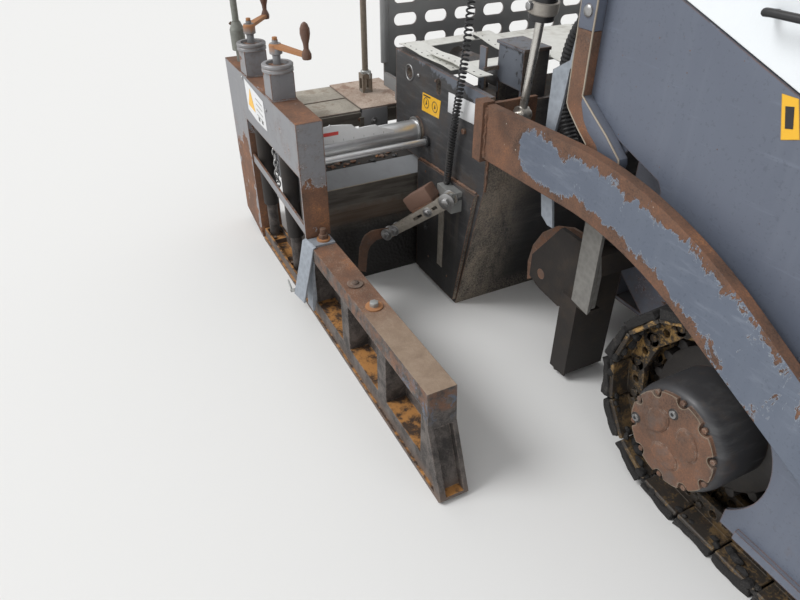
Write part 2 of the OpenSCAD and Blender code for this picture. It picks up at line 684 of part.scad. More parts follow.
module auger() {
  color(steel) {
    bar_y(auger_x, auger_z, 30, -768, -54);
    bar_y(auger_x, auger_z, 20, -784, -768);
    bar_y(auger_x, auger_z, 20, -54, -4);
  }
  color(rust) translate([auger_x, -70, auger_z]) rotate([90, 0, 0]) helix(28, auger_d / 2, 10, 680);
}

// screw flight from radius r0 to r1 and t thick, along Z
module helix(r0, r1, t, len) {
  n = ceil(len / auger_pitch * 14);
  ring = [[r0, 0], [r1, 0], [r1, t], [r0, t]];
  pts = [for (i = [0:n], q = ring) let (a = 360 * i * len / n / auger_pitch)
    [q[0] * cos(a), q[0] * sin(a), q[1] + i * (len - t) / n]];
  sides = [for (i = [0:n - 1], k = [0:3]) [4 * i + k, 4 * i + (k + 1) % 4, 4 * i + 4 + (k + 1) % 4, 4 * i + 4 + k]];
  tris = [for (f = sides) each [[f[0], f[1], f[2]], [f[0], f[2], f[3]]]];
  polyhedron(pts, concat([[3, 2, 1, 0], [4 * n, 4 * n + 1, 4 * n + 2, 4 * n + 3]], tris));
}

// Tow arms and lift cylinders

lift_y = 850;
lift_ear = 41;
lift_eye_x = -1091;
lift_eye_z = 882;
lift_top_x = -1006;
lift_top_z = 1500;
lift_len = norm([lift_eye_x - lift_top_x, lift_eye_z - lift_top_z]);
arm_c = [-690, -315];
bend_c = [tow_x - 389, tow_z + 568];

function arm_outline() = concat(
  [[-1135, 918]], arc(arm_c, 1250, 90, 61.5, 12), arc(bend_c, 500, 241.5, 270, 6), [[tow_x, tow_z + 68]],
  arc([tow_x, tow_z], 68, 90, -90, 12), arc(bend_c, 636, 270, 247, 6), arc(arm_c, 1068, 67, 90, 12), [[-1135, 738]]);

module tow_arm() color(rust) {
  difference() {
    union() {
      plate_xz(arm_outline(), -arm_out + arm_t, arm_t);
      block([-1150, -arm_out, 738], [-1135, -760, 918]);
      // upright flange on the outer face at the rear end
      block([-1182, -arm_out - 14, 728], [-1135, -arm_out + arm_t, 926]);
      block([screed_front, -880, 770], [-1150, -860, 900]);
      block([screed_front, -790, 770], [-1150, -770, 900]);
      bar_y(tow_x, tow_z, 58, -arm_out - 5, -arm_out);
    }
    bar_y(tow_x, tow_z, tow_pin_d / 2 + run_gap, -arm_out - 6, -arm_out + arm_t + 1);
  }
}

module along_lift() translate([lift_top_x, -lift_y, lift_top_z])
  rotate([0, 180 - atan2(lift_eye_x - lift_top_x, -(lift_eye_z - lift_top_z)), 0]) children();

module lift_barrel() color(steel) along_lift() {
  rotate([90, 0, 0]) cylinder(r = 15, h = 2 * lift_ear + 28, center = true);
  rotate([90, 0, 0]) cylinder(r = 32, h = 44, center = true);
  difference() {
    translate([0, 0, 24]) cylinder(r = 38, h = 301);
    translate([0, 0, 45]) cylinder(r = 13 + run_gap, h = 300);
  }
}

module lift_rod() color(steel) along_lift() {
  translate([0, 0, 305]) cylinder(r = 13, h = lift_len - 305 - 22);
  translate([0, 0, lift_len]) rotate([90, 0, 0]) cylinder(r = 30, h = 30, center = true);
  // pin that reaches towards the tow arm
  translate([0, 0, lift_len]) rotate([90, 0, 0]) translate([0, 0, -30]) cylinder(r = eye_pin_r, h = 101);
}

// Screed

function side_outline() = [[screed_rear, screed_top], [screed_front, screed_top], [screed_front, 570],
  [screed_front - 146, 0], [sole_rear, 0], [sole_rear, 520], [screed_rear, 520]];

low_top = 552;            // front end of the wear plate's top edge
low_t = 15;
boss_r = tube_d / 2 + 9;
barrel_r = rod_d / 2 + 16;

module screed_frame() color(dark) {
  both_sides() {
    difference() {
      union() {
        plate_xz(side_outline(), -screed_half + side_t, side_t);
        // wear plate on the lower half of the side
        plate_xz([[sole_rear, 22], [sole_rear, low_top - 24], [screed_front - 26, low_top], [screed_front - 36, 540],
          [screed_front - 146, 22]], -screed_half, low_t);
        bar_y(tube_x, tube_z, boss_r, -screed_half - 12, -screed_half + side_t + 300);
      }
      bar_y(tube_x, tube_z, tube_d / 2 + run_gap, -screed_half - 13, -screed_half + side_t + 301);
      bar_y(rod_x, rod_z, rod_d / 2 + 4, -screed_half - 1, -screed_half + side_t + 1);
      bar_y(-1775, 848, 18, -screed_half - 1, -screed_half + side_t + 1);
      // upright oval hole
      for (z = [841, 869]) bar_y(-1541, z, 15, -screed_half - 1, -screed_half + side_t + 1);
      block([-1556, -screed_half - 1, 841], [-1526, -screed_half + side_t + 1, 869]);
    }
    difference() {
      bar_y(rod_x, rod_z, barrel_r, -screed_half + side_t, -40);
      bar_y(rod_x, rod_z, rod_d / 2 + run_gap, -screed_half, -60);
    }
    // upright bar and the bracket beside it on the cross plate
    block([-1425, -806, 794], [-1385, -798, 1018]);
    block([-1390, -812, 940], [-1380, -750, 952]);
    for (x = [-1388, -1252]) block([x, -750, 794], [x + 12, -650, 1030]);
    block([-1388, -752, 900], [-1240, -740, 1030]);
    block([-1396, -758, 1028], [-1232, -650, 1038]);
    // adjusting cylinders seen between the covers
    bar_x(-640, 862, 40, -1850, -1480);
    block([-1650, -650, 794], [-1620, -630, 830]);
    // posts under the inner cover
    for (x = [-1600, -1300], y = [-440, -80]) block([x, y, 794], [x + 20, y + 20, screed_top]);
  }
  w = screed_half - side_t;
  plate_xz([[screed_front - 15, 880], [screed_front, 880], [screed_front, 570], [screed_front - 146, 0],
    [screed_front - 161, 0], [screed_front - 15, 570]], w, 2 * w);
  block([sole_rear, -w, 0], [screed_front - 150, w, 20]);
  block([sole_rear, -w, 20], [sole_rear + 15, w, 500]);
  block([-1660, -w, 780], [screed_front - 15, w, 795]);
}

module screed_covers() color(white) both_sides() {
  difference() {
    block([-1880, -screed_half + 4, screed_top], [-1440, -470, screed_top + 6]);
    block([-1790, -screed_half + 110, screed_top - 1], [-1500, -560, screed_top + 7]);
  }
  block([-1700, -screed_half + 4, screed_top + 8], [-1300, -830, screed_top + 14]);
  block([-1700, -860, screed_top + 5], [-1680, -840, screed_top + 9]);
  block([-1880, -460, screed_top], [-1230, -40, screed_top + 6]);
}

guard_x = -2115;
guard_t = 8;
guard_half = 855;
guard_low = 700;
guard_top = 1250;
slot_l = 110;
slot_w = 50;
slot_y = [for (i = [-5:5]) i * 150];
slot_z = [for (i = [0:3]) 880 + i * 90];
box_x = -1295;
box_z = 1400;
arm_z = box_z + 50;
control_y = screed_half + 30;

module guard_plate() color(dark) {
  translate([guard_x, 0, 0]) rotate([90, 0, 90]) linear_extrude(guard_t) difference() {
    translate([-guard_half, guard_low]) square([2 * guard_half, guard_top - guard_low]);
    for (y = slot_y, z = slot_z) translate([y, z]) obround(slot_l, slot_w);
  }
  both_sides() {
    block([guard_x, -guard_half, guard_low], [screed_rear, -guard_half + 12, guard_low + 60]);
    block([screed_rear - 12, -screed_half, guard_low], [screed_rear, -guard_half + 12, guard_low + 60]);
    bar([guard_x + 4, -guard_half + 5, guard_low + 100], [guard_x + 4, -guard_half + 5, arm_z + 10], 18);
    // arm out to the control box, cut square at its face
    difference() {
      bar([guard_x + 4, -guard_half + 5, arm_z], [box_x - 60, -control_y, arm_z], 16);
      block([box_x - 80, -control_y - 50, arm_z - 40], [box_x - 30, -control_y + 50, arm_z + 40]);
    }
  }
}

module control_boxes() color(dark) both_sides()
  block([box_x - 80, -control_y - 60, box_z], [box_x + 60, -control_y + 60, box_z + 110]);

// Extensions

pole_x = -2285;
pole_y = 870;
module ext_box() color(dark) {
  outline = [[ext_front, 0], [ext_front, ext_edge_z], [ext_front - 85, ext_top], [ext_rear, ext_top], [ext_rear, 0]];
  inner = [[ext_front - ext_t, ext_t], [ext_front - ext_t, ext_edge_z - ext_t], [ext_front - 85, ext_top - ext_t],
    [ext_rear + ext_t, ext_top - ext_t], [ext_rear + ext_t, ext_t]];
  difference() {
    plate_xz(outline, -ext_in, gate_in - ext_in);
    plate_xz(inner, -ext_in + 1, gate_in - ext_in - 20);
  }
  // ledge along the front wall and the wear strip under it
  plate_xz([[ext_front - 2, 372], [ext_front + 18, 352], [ext_front + 18, 296], [ext_front - 2, 296]],
    -ext_in - 20, gate_in - ext_in - 40);
  // walkway boards on their brackets
  for (y = [-gate_in + 60, -gate_in + 360]) {
    block([-2440, y, 560], [ext_rear, y + 20, board_z - 30]);
    block([ext_rear - 20, y, ext_top - 60], [ext_rear, y + 20, 560]);
  }
  block([-2450, -gate_in, board_z - 30], [-2262, -gate_in + 640, board_z]);
  block([-2256, -gate_in, board_z - 30], [ext_rear - 15, -gate_in + 640, board_z - 2]);
  block([-2262, -gate_in + 10, board_z - 30], [-2256, -gate_in + 630, board_z - 20]);
  // front lip of the walkway with its fixing plate
  block([ext_rear - 17, -gate_in + 40, board_z - 70], [ext_rear - 9, -gate_in + 600, board_z - 10]);
  // yoke and pole on the walkway
  difference() {
    block([pole_x - 24, -pole_y - 24, board_z], [pole_x + 24, -pole_y + 24, board_z + 92]);
    block([pole_x - 12, -pole_y - 25, board_z + 22], [pole_x + 12, -pole_y + 25, board_z + 70]);
    block([pole_x - 25, -pole_y - 10, board_z + 22], [pole_x + 25, -pole_y + 10, board_z + 70]);
  }
  translate([pole_x, -pole_y, board_z + 91]) cylinder(r = 14, h = 810);
}

module ext_tubes() color("silver") {
  bar_y(tube_x, tube_z, tube_d / 2, -gate_in, -ext_in);
  bar_y(rod_x, rod_z, rod_d / 2, -gate_in, -ext_in);
}

gate_out = gate_in + gate_w;
gate_mid = gate_in + gate_w / 2;

mast_x = -2415;
crank_l = 190;            // throw of the cranks
sleeve_r = 34;            // outside of the spindle's sleeve
sleeve_low = 205;         // lower end of the sleeve
post_r = 24;              // skid's post inside the sleeve

// crank tower at x, its crank turned by a from forward
module crank_tower(x, a) {
  cap_z = portal_top + 100;
  color(paint) block([x - tower_w / 2, -gate_mid - tower_w / 2, portal_top],
    [x + tower_w / 2, -gate_mid + tower_w / 2, cap_z]);
  translate([x, -gate_mid, cap_z]) {
    // cap with a raised rim round its bore, and the crank's hub
    color(paint) rotate_extrude() polygon([[0, 0], [59, 0], [59, 10], [56, 13], [56, 15], [59, 18], [59, 25], [56, 28],
      [42, 28], [39, 14], [0, 14]]);
    color(paint) rotate_extrude()
      polygon([[0, 13], [15, 13], [15, 56], [24, 61], [24, 91], [20, 97], [11, 97], [11, 109], [0, 109]]);
    rotate([0, 0, a]) {
      color(rust) translate([0, 0, 82]) linear_extrude(13) union() {
        polygon([[0, -17], [crank_l, -10], [crank_l, 10], [0, 17]]);
        circle(18);
        translate([crank_l, 0]) circle(13);
      }
      color(rust) translate([crank_l, 0, 76]) rotate_extrude() polygon([[0, 0], [15, 0], [17, 5], [17, 17], [14, 25], [9, 36],
        [10, 52], [15, 70], [18, 86], [17, 102], [11, 116], [4, 122], [0, 122]]);
    }
  }
}

module portal() {
  post_low = skid_h + move_gap + 1;
  color(paint) {
    // inner plate, front post, rear post, top and front panel
    plate_xz([[portal_front, post_low], [portal_front, portal_top], [portal_rear, portal_top], [portal_rear, 60],
      [window_rear, 5], [window_rear, post_low]], -gate_in, portal_t);
    block([portal_rear, -gate_out, portal_top - portal_t], [portal_front, -gate_in, portal_top]);
    block([portal_front - portal_t, -gate_out, post_low], [portal_front, -gate_in, portal_top]);
    block([portal_rear, -gate_out, 60], [portal_rear + portal_t, -gate_in, portal_top]);
    plate_xz([[portal_front, window_top], [portal_front, portal_top], [portal_rear, portal_top], [portal_rear, 60],
      [window_rear, 5], [window_rear, window_top]], -gate_out + 10, 10);
    // lip along the rear post's front edge
    block([window_rear - 10, -gate_out, 5], [window_rear, -gate_in - portal_t, window_top]);
    // flat strip across the window
    plate_xz([[window_rear - 12, 398], [window_rear - 12, 438], [portal_front - 2, 394], [portal_front - 2, 354]],
      -gate_out + 14, 8);
    // spindles and their sleeves
    for (x = [tower_x, tower_x - tower_gap]) translate([x, -gate_mid, 0]) {
      translate([0, 0, 280]) cylinder(r = 15, h = portal_top - 280);
      difference() {
        translate([0, 0, sleeve_low]) cylinder(r = sleeve_r, h = portal_top - sleeve_low - 1);
        translate([0, 0, sleeve_low - 1]) difference() {
          cylinder(r = post_r + run_gap, h = window_top - sleeve_low);
          translate([0, 0, 280 - sleeve_low]) cylinder(r = 15, h = window_top);
        }
      }
    }
  }
  crank_tower(tower_x, 17);
  crank_tower(tower_x - tower_gap, 143);
  // mast and its socket
  color(steel) translate([mast_x, -gate_mid, portal_top]) {
    rotate_extrude() polygon([[0, 0], [17, 0], [17, 47], [31, 49], [31, 133], [18, 165], [0, 165]]);
    translate([0, 0, 164]) cylinder(r = 14, h = 541);
  }
}

module skid() color(rust) {
  pocket_x = [[-1505, -1235], [-1170, -930], [-865, -625]];
  sole = 14;
  face_x = skid_front - 98;
  lip_z = skid_h - 58;
  rear_h = 58;
  rear_x = -2235;
  difference() {
    // beam with its slanted nose, low at the rear where the portal stands over it
    plate_xz([[rear_x, 0], [skid_front - 12, 0], [skid_front, 14], [face_x + 8, 236], [face_x, skid_tip_h],
      [portal_front - portal_t - 10, skid_h], [portal_front - portal_t - 10, 150], [portal_front - 80, rear_h], [rear_x, rear_h]],
      -gate_in - move_gap, gate_w - move_gap);
    // outer web set back between the top lip and the sole
    plate_xz([[rear_x - 1, sole], [skid_front - 40, sole], [face_x - 30, lip_z + 6], [portal_front + 30, lip_z],
      [portal_front - 40, lip_z - 40], [portal_front - 40, 200], [rear_x - 1, 200]], -gate_out + 9, 10);
    for (p = pocket_x) block([p[0], -gate_out - 1, 80], [p[1], -gate_in - 16, 272]);
    // recess in the nose
    plate_xz([[skid_front - 34, sole + 8], [skid_front + 20, sole + 8], [face_x + 40, 228], [face_x - 14, 228]],
      -gate_in - 20, gate_w - 40);
    // open channel at the rear
    block([rear_x + 10, -gate_out + 18, sole], [portal_front - 85, -gate_in - 16, rear_h + 1]);
  }
  for (x = [tower_x, tower_x - tower_gap]) {
    difference() {
      translate([x, -gate_mid, sole - 1]) cylinder(r = post_r, h = 480);
      translate([x, -gate_mid, 160]) cylinder(r = 15 + run_gap, h = 401);
    }
    // foot of the post in the channel
    block([max(x - 60, rear_x + 1), -gate_mid - 33, sole - 1], [x + 60, -gate_mid + 35, sole + 22]);
  }
  // bent guide bracket clamped on the skid in front of the portal
  color(steel) {
    plate_yz([[-gate_out - 12, 62], [-gate_out - 12, 92], [-gate_mid - 40, skid_h - 1], [-gate_mid + 42, skid_h - 1],
      [-gate_mid + 42, skid_h + 9], [-gate_mid - 44, skid_h + 9], [-gate_out - 20, 92], [-gate_out - 20, 62]],
      portal_front + 6, 62);
    plate_yz([[-gate_out - 14, 62], [-gate_out - 14, 92], [-gate_mid - 42, skid_h + 8], [-gate_out + 1, skid_h - 30],
      [-gate_out + 1, 120]],
      portal_front + 62, 6);
  }
}

sensor_x = -1405;
sensor_top = 530;
module feed_sensor() color(steel) {
  block([sensor_x - 20, -screed_half - 60, 450], [sensor_x + 90, -screed_half - low_t, sensor_top]);
  bar_y(sensor_x + 62, 492, 24, -screed_half - 68, -screed_half - 60);
}

cord_path = [[-1405, 530], [-1400, 570], [-1381, 712], [-1343, 903], [-1318, 1040], [-1305, 1163], [-1297, 1300],
  [-1295, 1400]];
cord_r = 15;
module sensor_cord() color(dark) sweep([for (p = cord_path) [p[0], -control_y, p[1]]], cord_r, 8);

hose_path = [[-790, 1209], [-830, 1212], [-885, 1215], [-950, 1208], [-1010, 1178], [-1056, 1118], [-1080, 1038], [-1080, 950],
  [-1058, 865], [-1012, 790], [-950, 732], [-880, 690], [-815, 652], [-768, 612], [-745, 550]];
hose_y = 700;
hose_r = 27;
module hydraulic_hose() color(dark)
  sweep([for (p = hose_path) [p[0], -hose_y, p[1]]], hose_r, 10, [-1, 0, 0], [0, 0, -1]);

// round tube along a list of points in a plane of constant Y, its ends square to d0 and d1
module sweep(path, r, n, d0 = [0, 0, 1], d1 = [0, 0, 1]) {
  m = len(path);
  dir = [for (i = [0:m - 1]) let (d = path[min(i + 1, m - 1)] - path[max(i - 1, 0)])
    i == 0 ? d0 : i == m - 1 ? d1 : d / norm(d)];
  pts = [for (i = [0:m - 1], k = [0:n - 1]) let (u = [dir[i][2], 0, -dir[i][0]], a = 360 * k / n)
    path[i] + r * (cos(a) * u + sin(a) * [0, 1, 0])];
  tris = [for (i = [0:m - 2], k = [0:n - 1]) let (a = i * n + k, b = i * n + (k + 1) % n) each [[a, a + n, b + n], [a, b + n, b]]];
  polyhedron(pts, concat([[for (k = [0:n - 1]) k], [for (k = [n - 1:-1:0]) (m - 1) * n + k]], tris));
}

chassis();
tunnel();
bulkheads();
brackets();
conveyor();
both_sides() side_panel();  // side_panels
bodywork();
hood_lid();
engine();
platform();
console();
seats();
handrails();
exhaust();
lamps();
track();  // track_right
left_side() track();  // track_left
both_sides() track_frame();  // track_frames
both_sides() final_drive();  // final_drives
both_sides() wheels();  // track_wheels
push_beam();
push_roller();  // push_roller_right
left_side() push_roller();  // push_roller_left
auger_support();
auger();  // auger_right
left_side() auger();  // auger_left
wing();  // wing_right
left_side() wing();  // wing_left
wing_barrel();  // wing_barrel_right
left_side() wing_barrel();  // wing_barrel_left
wing_rod();  // wing_rod_right
left_side() wing_rod();  // wing_rod_left
screed_frame();
screed_covers();
both_sides() tow_arm();  // tow_arms
guard_plate();
lift_barrel();  // lift_barrel_right
left_side() lift_barrel();  // lift_barrel_left
lift_rod();  // lift_rod_right
left_side() lift_rod();  // lift_rod_left
ext_box();  // ext_box_right
left_side() ext_box();  // ext_box_left
ext_tubes();  // ext_tubes_right
left_side() ext_tubes();  // ext_tubes_left
portal();  // portal_right
left_side() portal();  // portal_left
skid();  // skid_right
left_side() skid();  // skid_left
both_sides() feed_sensor();  // feed_sensors
control_boxes();
sensor_cord();  // sensor_cord_right
left_side() sensor_cord();  // sensor_cord_left
hydraulic_hose();
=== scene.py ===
# Compact tracked asphalt paver: finishes, small fittings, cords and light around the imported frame
import json
import math
import random
import bpy
from mathutils import Matrix, Quaternion, Vector, noise

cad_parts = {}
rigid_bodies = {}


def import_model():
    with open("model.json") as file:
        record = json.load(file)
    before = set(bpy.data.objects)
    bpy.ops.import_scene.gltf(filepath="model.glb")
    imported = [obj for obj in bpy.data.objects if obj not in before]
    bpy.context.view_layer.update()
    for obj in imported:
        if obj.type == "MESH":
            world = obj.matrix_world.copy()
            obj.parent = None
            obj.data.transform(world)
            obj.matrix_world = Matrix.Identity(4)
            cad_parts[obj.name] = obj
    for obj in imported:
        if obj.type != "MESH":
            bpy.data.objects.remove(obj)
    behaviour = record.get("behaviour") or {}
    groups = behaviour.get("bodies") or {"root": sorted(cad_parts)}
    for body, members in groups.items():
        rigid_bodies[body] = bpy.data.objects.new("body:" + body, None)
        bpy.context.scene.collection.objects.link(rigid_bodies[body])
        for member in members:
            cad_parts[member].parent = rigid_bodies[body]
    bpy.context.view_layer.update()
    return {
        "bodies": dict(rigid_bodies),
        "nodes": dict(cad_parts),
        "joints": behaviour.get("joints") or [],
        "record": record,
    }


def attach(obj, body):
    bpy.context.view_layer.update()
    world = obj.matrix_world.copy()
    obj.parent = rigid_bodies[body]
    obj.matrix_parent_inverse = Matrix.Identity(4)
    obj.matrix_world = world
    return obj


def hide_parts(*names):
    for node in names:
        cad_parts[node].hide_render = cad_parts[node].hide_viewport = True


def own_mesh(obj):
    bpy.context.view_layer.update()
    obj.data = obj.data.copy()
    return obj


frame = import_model()
nodes = frame["nodes"]
random.seed(7)
noise.seed_set(1795776173)  # unset, the roughness would change with the clock
print("frame loaded:", len(nodes), "nodes")

# directions, seen from the machine's right side, on which every side piece is modelled
outward, inward, upward, forward = (0, -1, 0), (0, 1, 0), (0, 0, 1), (1, 0, 0)

view = {"place": (0.560, -2.106, 1.600), "look": (-0.7318, 0.3633, -0.5766), "roll": -0.22, "lens": 29.34}


def setCamera(s):
    data = bpy.data.cameras.new("camera")
    data.lens = s["lens"]
    data.sensor_width = 36
    cam = bpy.data.objects.new("camera", data)
    bpy.context.scene.collection.objects.link(cam)
    cam.rotation_mode = "QUATERNION"
    turn = Vector(s["look"]).to_track_quat("-Z", "Y")
    cam.rotation_quaternion = turn @ Quaternion(upward, math.radians(s["roll"]))
    cam.location = s["place"]
    bpy.context.scene.camera = cam


studio = {"floor": (0.80, 0.80, 0.79), "world": 0.72, "back": 0.93,
          "key": 1.7, "keyTurn": (42, 12, -38), "keySize": 24}


def setStudio(s):
    deselect()
    bpy.ops.mesh.primitive_plane_add(size=60)
    floor = bpy.context.object
    floor.name = "floor"
    floor.data.materials.append(Finish("floorFinish").finish(s["floor"], 0.75))
    # the world lights the scene at one strength and shows behind it at another
    world = bpy.data.worlds.new("world")
    bpy.context.scene.world = world
    w = Shade(world, "OutputWorld")
    path = w.node("LightPath")
    seen = path["Is Camera Ray"].most(path["Is Transmission Ray"])
    glow = [w.node("Background", {"Color": (1, 1, 1), "Strength": s[key]})[0] for key in ("world", "back")]
    w.show(w.node("MixShader", [seen, *glow])[0])
    sun = bpy.data.objects.new("keyLight", bpy.data.lights.new("keyLight", "SUN"))
    sun.data.energy = s["key"]
    sun.data.angle = math.radians(s["keySize"])
    sun.rotation_euler = [math.radians(a) for a in s["keyTurn"]]
    bpy.context.scene.collection.objects.link(sun)
    bpy.context.scene.view_settings.view_transform = "Standard"


# Shader maths as expressions

def mathOperator(operation, swapped=False):
    def apply(self, *others):
        terms = [*others, self] if swapped else [self, *others]
        return self.shade.node("Math", terms, operation=operation)["Value"]
    return apply


class Value:
    __add__ = __radd__ = mathOperator("ADD")
    __sub__ = mathOperator("SUBTRACT")
    __rsub__ = mathOperator("SUBTRACT", True)
    __mul__ = __rmul__ = mathOperator("MULTIPLY")
    __truediv__ = mathOperator("DIVIDE")
    __pow__ = mathOperator("POWER")
    __abs__ = mathOperator("ABSOLUTE")
    most = mathOperator("MAXIMUM")

    def __init__(self, shade, socket):
        self.shade = shade
        self.socket = socket

    def step(self, low, high):
        ends = {"Value": self, "From Min": low, "From Max": high}
        return self.shade.node("MapRange", ends, interpolation_type="SMOOTHSTEP")["Result"]


class Outputs:
    def __init__(self, shade, node):
        self.shade = shade
        self.node = node

    def __getitem__(self, name):
        return Value(self.shade, self.node.outputs[name])


class Shade:
    def __init__(self, owner, output):
        owner.use_nodes = True
        self.owner = owner
        self.tree = owner.node_tree
        self.tree.nodes.clear()
        self.out = self.tree.nodes.new("ShaderNode" + output)

    def node(self, kind, inputs=(), **settings):
        n = self.tree.nodes.new("ShaderNode" + kind)
        for key, value in settings.items():
            setattr(n, key, value)
        for key, value in inputs.items() if isinstance(inputs, dict) else enumerate(inputs):
            socket = n.inputs[key]
            if isinstance(value, Value):
                self.tree.links.new(value.socket, socket)
            else:
                socket.default_value = (*value, 1.0) if socket.type == "RGBA" else value
        return Outputs(self, n)

    def show(self, surface):
        self.tree.links.new(surface.socket, self.out.inputs["Surface"])


class Finish(Shade):
    def __init__(self, name):
        super().__init__(bpy.data.materials.new(name), "OutputMaterial")
        self.place = self.node("TexCoord")["Object"]
        split = self.node("SeparateXYZ", [self.place])
        self.x, self.y, self.z = (split[k] for k in "XYZ")

    def noise(self, scale, detail=4.0, rough=0.55, warp=0.0, stretch=None):
        spot = self.place
        if stretch:
            spot = self.node("Mapping", {"Vector": spot, "Scale": stretch})["Vector"]
        ins = {"Vector": spot, "Scale": scale, "Detail": detail, "Roughness": rough, "Distortion": warp}
        return self.node("TexNoise", ins)["Fac"]

    def noises(self, *rows):
        return [self.noise(*row) for row in rows]

    def cells(self, scale):
        return self.node("TexVoronoi", {"Vector": self.place, "Scale": scale})["Distance"]

    def mix(self, mask, a, b):
        return self.node("Mix", {0: mask, 6: a, 7: b}, data_type="RGBA")[2]

    def over(self, color, *layers):
        # lays one colour after another over the first, each through its mask
        for mask, top in layers:
            color = self.mix(mask, color, top)
        return color

    def ramp(self, factor, stops):
        made = self.node("ValToRGB", [factor])
        elements = made.node.color_ramp.elements
        while len(elements) < len(stops):
            elements.new(0.5)
        for e, (at, c) in zip(elements, stops):
            e.position = at
            e.color = (*c, 1.0)
        return made[0]

    def normal(self, radius=None):
        # the flat normal, or the one of an edge rounded by the radius
        if radius:
            return self.node("Bevel", {"Radius": radius}, samples=4)["Normal"]
        return self.node("NewGeometry")["Normal"]

    def edge(self, radius, low=0.02, high=0.25):
        dot = self.node("VectorMath", [self.normal(radius), self.normal()], operation="DOT_PRODUCT")["Value"]
        return (1 - dot).step(low, high)

    def facing(self, axis, low, high):
        return self.node("SeparateXYZ", [self.normal()])[axis].step(low, high)

    def bump(self, height, depth, strength=1.0, round=0.0):
        ins = {"Height": height, "Distance": depth, "Strength": strength}
        if round:
            ins["Normal"] = self.normal(round)
        return self.node("Bump", ins)["Normal"]

    def finish(self, color, roughness, metallic=0.0, bump=None, coat=None):
        # bump holds height, depth, strength and the radius of the rounded edges
        ins = {"Base Color": color, "Roughness": roughness, "Metallic": metallic}
        if bump:
            ins["Normal"] = self.bump(*bump)
        if coat is not None:
            ins["Coat Weight"] = coat
        self.show(self.node("BsdfPrincipled", ins)["BSDF"])
        return self.owner


def shaded(color, share, more=0.0):
    return tuple(min(1, c * share + more) for c in color)


rustColors = {
    "dark": (0.040, 0.024, 0.018), "brown": (0.128, 0.072, 0.048), "red": (0.200, 0.098, 0.058),
    "orange": (0.430, 0.195, 0.078), "dust": (0.34, 0.295, 0.24),
}


def rustColor(m, orange=0.35):
    c = rustColors
    patches, grain = m.noises((9, 6, 0.62), (210, 4, 0.65))
    tone = patches * 0.62 + grain * 0.46 + (orange - 0.38) * 0.5
    return m.ramp(tone, ((0.30, c["dark"]), (0.46, c["brown"]), (0.60, c["red"]), (0.78, c["orange"])))


paints = {
    "gate": {"color": (0.232, 0.235, 0.248), "rust": 0.30, "edge": 0.010, "orange": 0.42, "dust": 0.20},
    "panel": {"color": (0.128, 0.147, 0.190), "rust": 0.10, "edge": 0.007, "orange": 0.30, "dust": 0.12},
    "chassis": {"color": (0.125, 0.135, 0.165), "rust": 0.30, "edge": 0.012, "orange": 0.25, "dust": 0.30},
    "hopper": {"color": (0.130, 0.140, 0.170), "rust": 0.42, "edge": 0.018, "orange": 0.30, "dust": 0.30},
}


def paintLayers(m, color, big, dust):
    # brushed-on tone, running streaks, level scuffs, dark specks and dust on what faces up
    streaks = m.noise(30, 3, 0.5, 0.0, (1, 1, 0.06))
    scuffs = m.noise(60, 4, 0.6, 0.2, (0.08, 0.08, 1)).step(0.60, 0.72)
    r, g, b = color
    return m.over(
        m.mix(big, (r * 0.84, g * 0.84, b * 0.86), shaded(color, 1.10)),
        (streaks.step(0.45, 0.75) * 0.20, (r * 1.35, g * 1.32, b * 1.25)),
        (scuffs * 0.22, (r * 1.7, g * 1.7, b * 1.65)),
        (m.noise(120, 3, 0.6).step(0.60, 0.66) * 0.25, shaded(color, 0.45)),
        (dust, rustColors["dust"]))


def wornPaint(name, s, extra=None):
    # extra takes the shade and gives more wear by place: 0 leaves the paint, 1 strips it
    m = Finish(name)
    big, mid, fine = m.noises((3.1, 5, 0.6, 0.6), (17, 6, 0.65, 0.4), (90, 4, 0.6))
    wear = big * 0.55 + mid * 0.35 + fine * 0.14 + m.edge(s["edge"]) * 0.26 + (s["rust"] - 0.4) * 0.35
    if extra:
        wear = wear + extra(m) * 0.30
    rust = wear.step(0.595, 0.615)
    stain = wear.step(0.52, 0.62) * (1 - rust) * 0.40
    chips = (1 - m.cells(38).step(0.045, 0.085)) * m.noise(6, 2).step(0.52, 0.60)
    rust = rust.most(chips * 0.9)
    dust = (m.facing("Z", 0.2, 0.9) * 0.6 + m.noise(5, 4).step(0.5, 0.8) * 0.4) * s["dust"]
    rim = wear.step(0.585, 0.597) * (1 - wear.step(0.600, 0.606))
    color = m.over(
        paintLayers(m, s["color"], big, dust),
        (stain, rustColors["brown"]),
        (rim * 0.5, shaded(s["color"], 2.2)),
        (rust, rustColor(m, s["orange"])))
    height = rust * (0.25 + fine * 0.9) + mid * 0.12 + (1 - rust) * 0.30
    return m.finish(color, 0.42 + mid * 0.12 + dust * 0.3 + rust * 0.34, 0.0, (height, 0.0016, 0.8, 0.0025))


def gateWear(m):
    # the top plate and the foot of the front post have lost most of their paint
    top = m.facing("Z", 0.7, 0.95) * (1 - m.z.step(0.815, 0.83))
    foot = (1 - (m.z + m.noise(14, 5) * 0.10).step(0.48, 0.66)) * m.facing("X", 0.5, 0.9)
    rear = (1 - m.x.step(-2.32, -2.20)) * (1 - m.z.step(0.25, 0.75)) * 1.1
    return top * 0.62 + foot * 0.85 + rear * 0.62


armBow = {"x": -0.690, "z": -0.315, "r": 1.159, "half": 0.091}


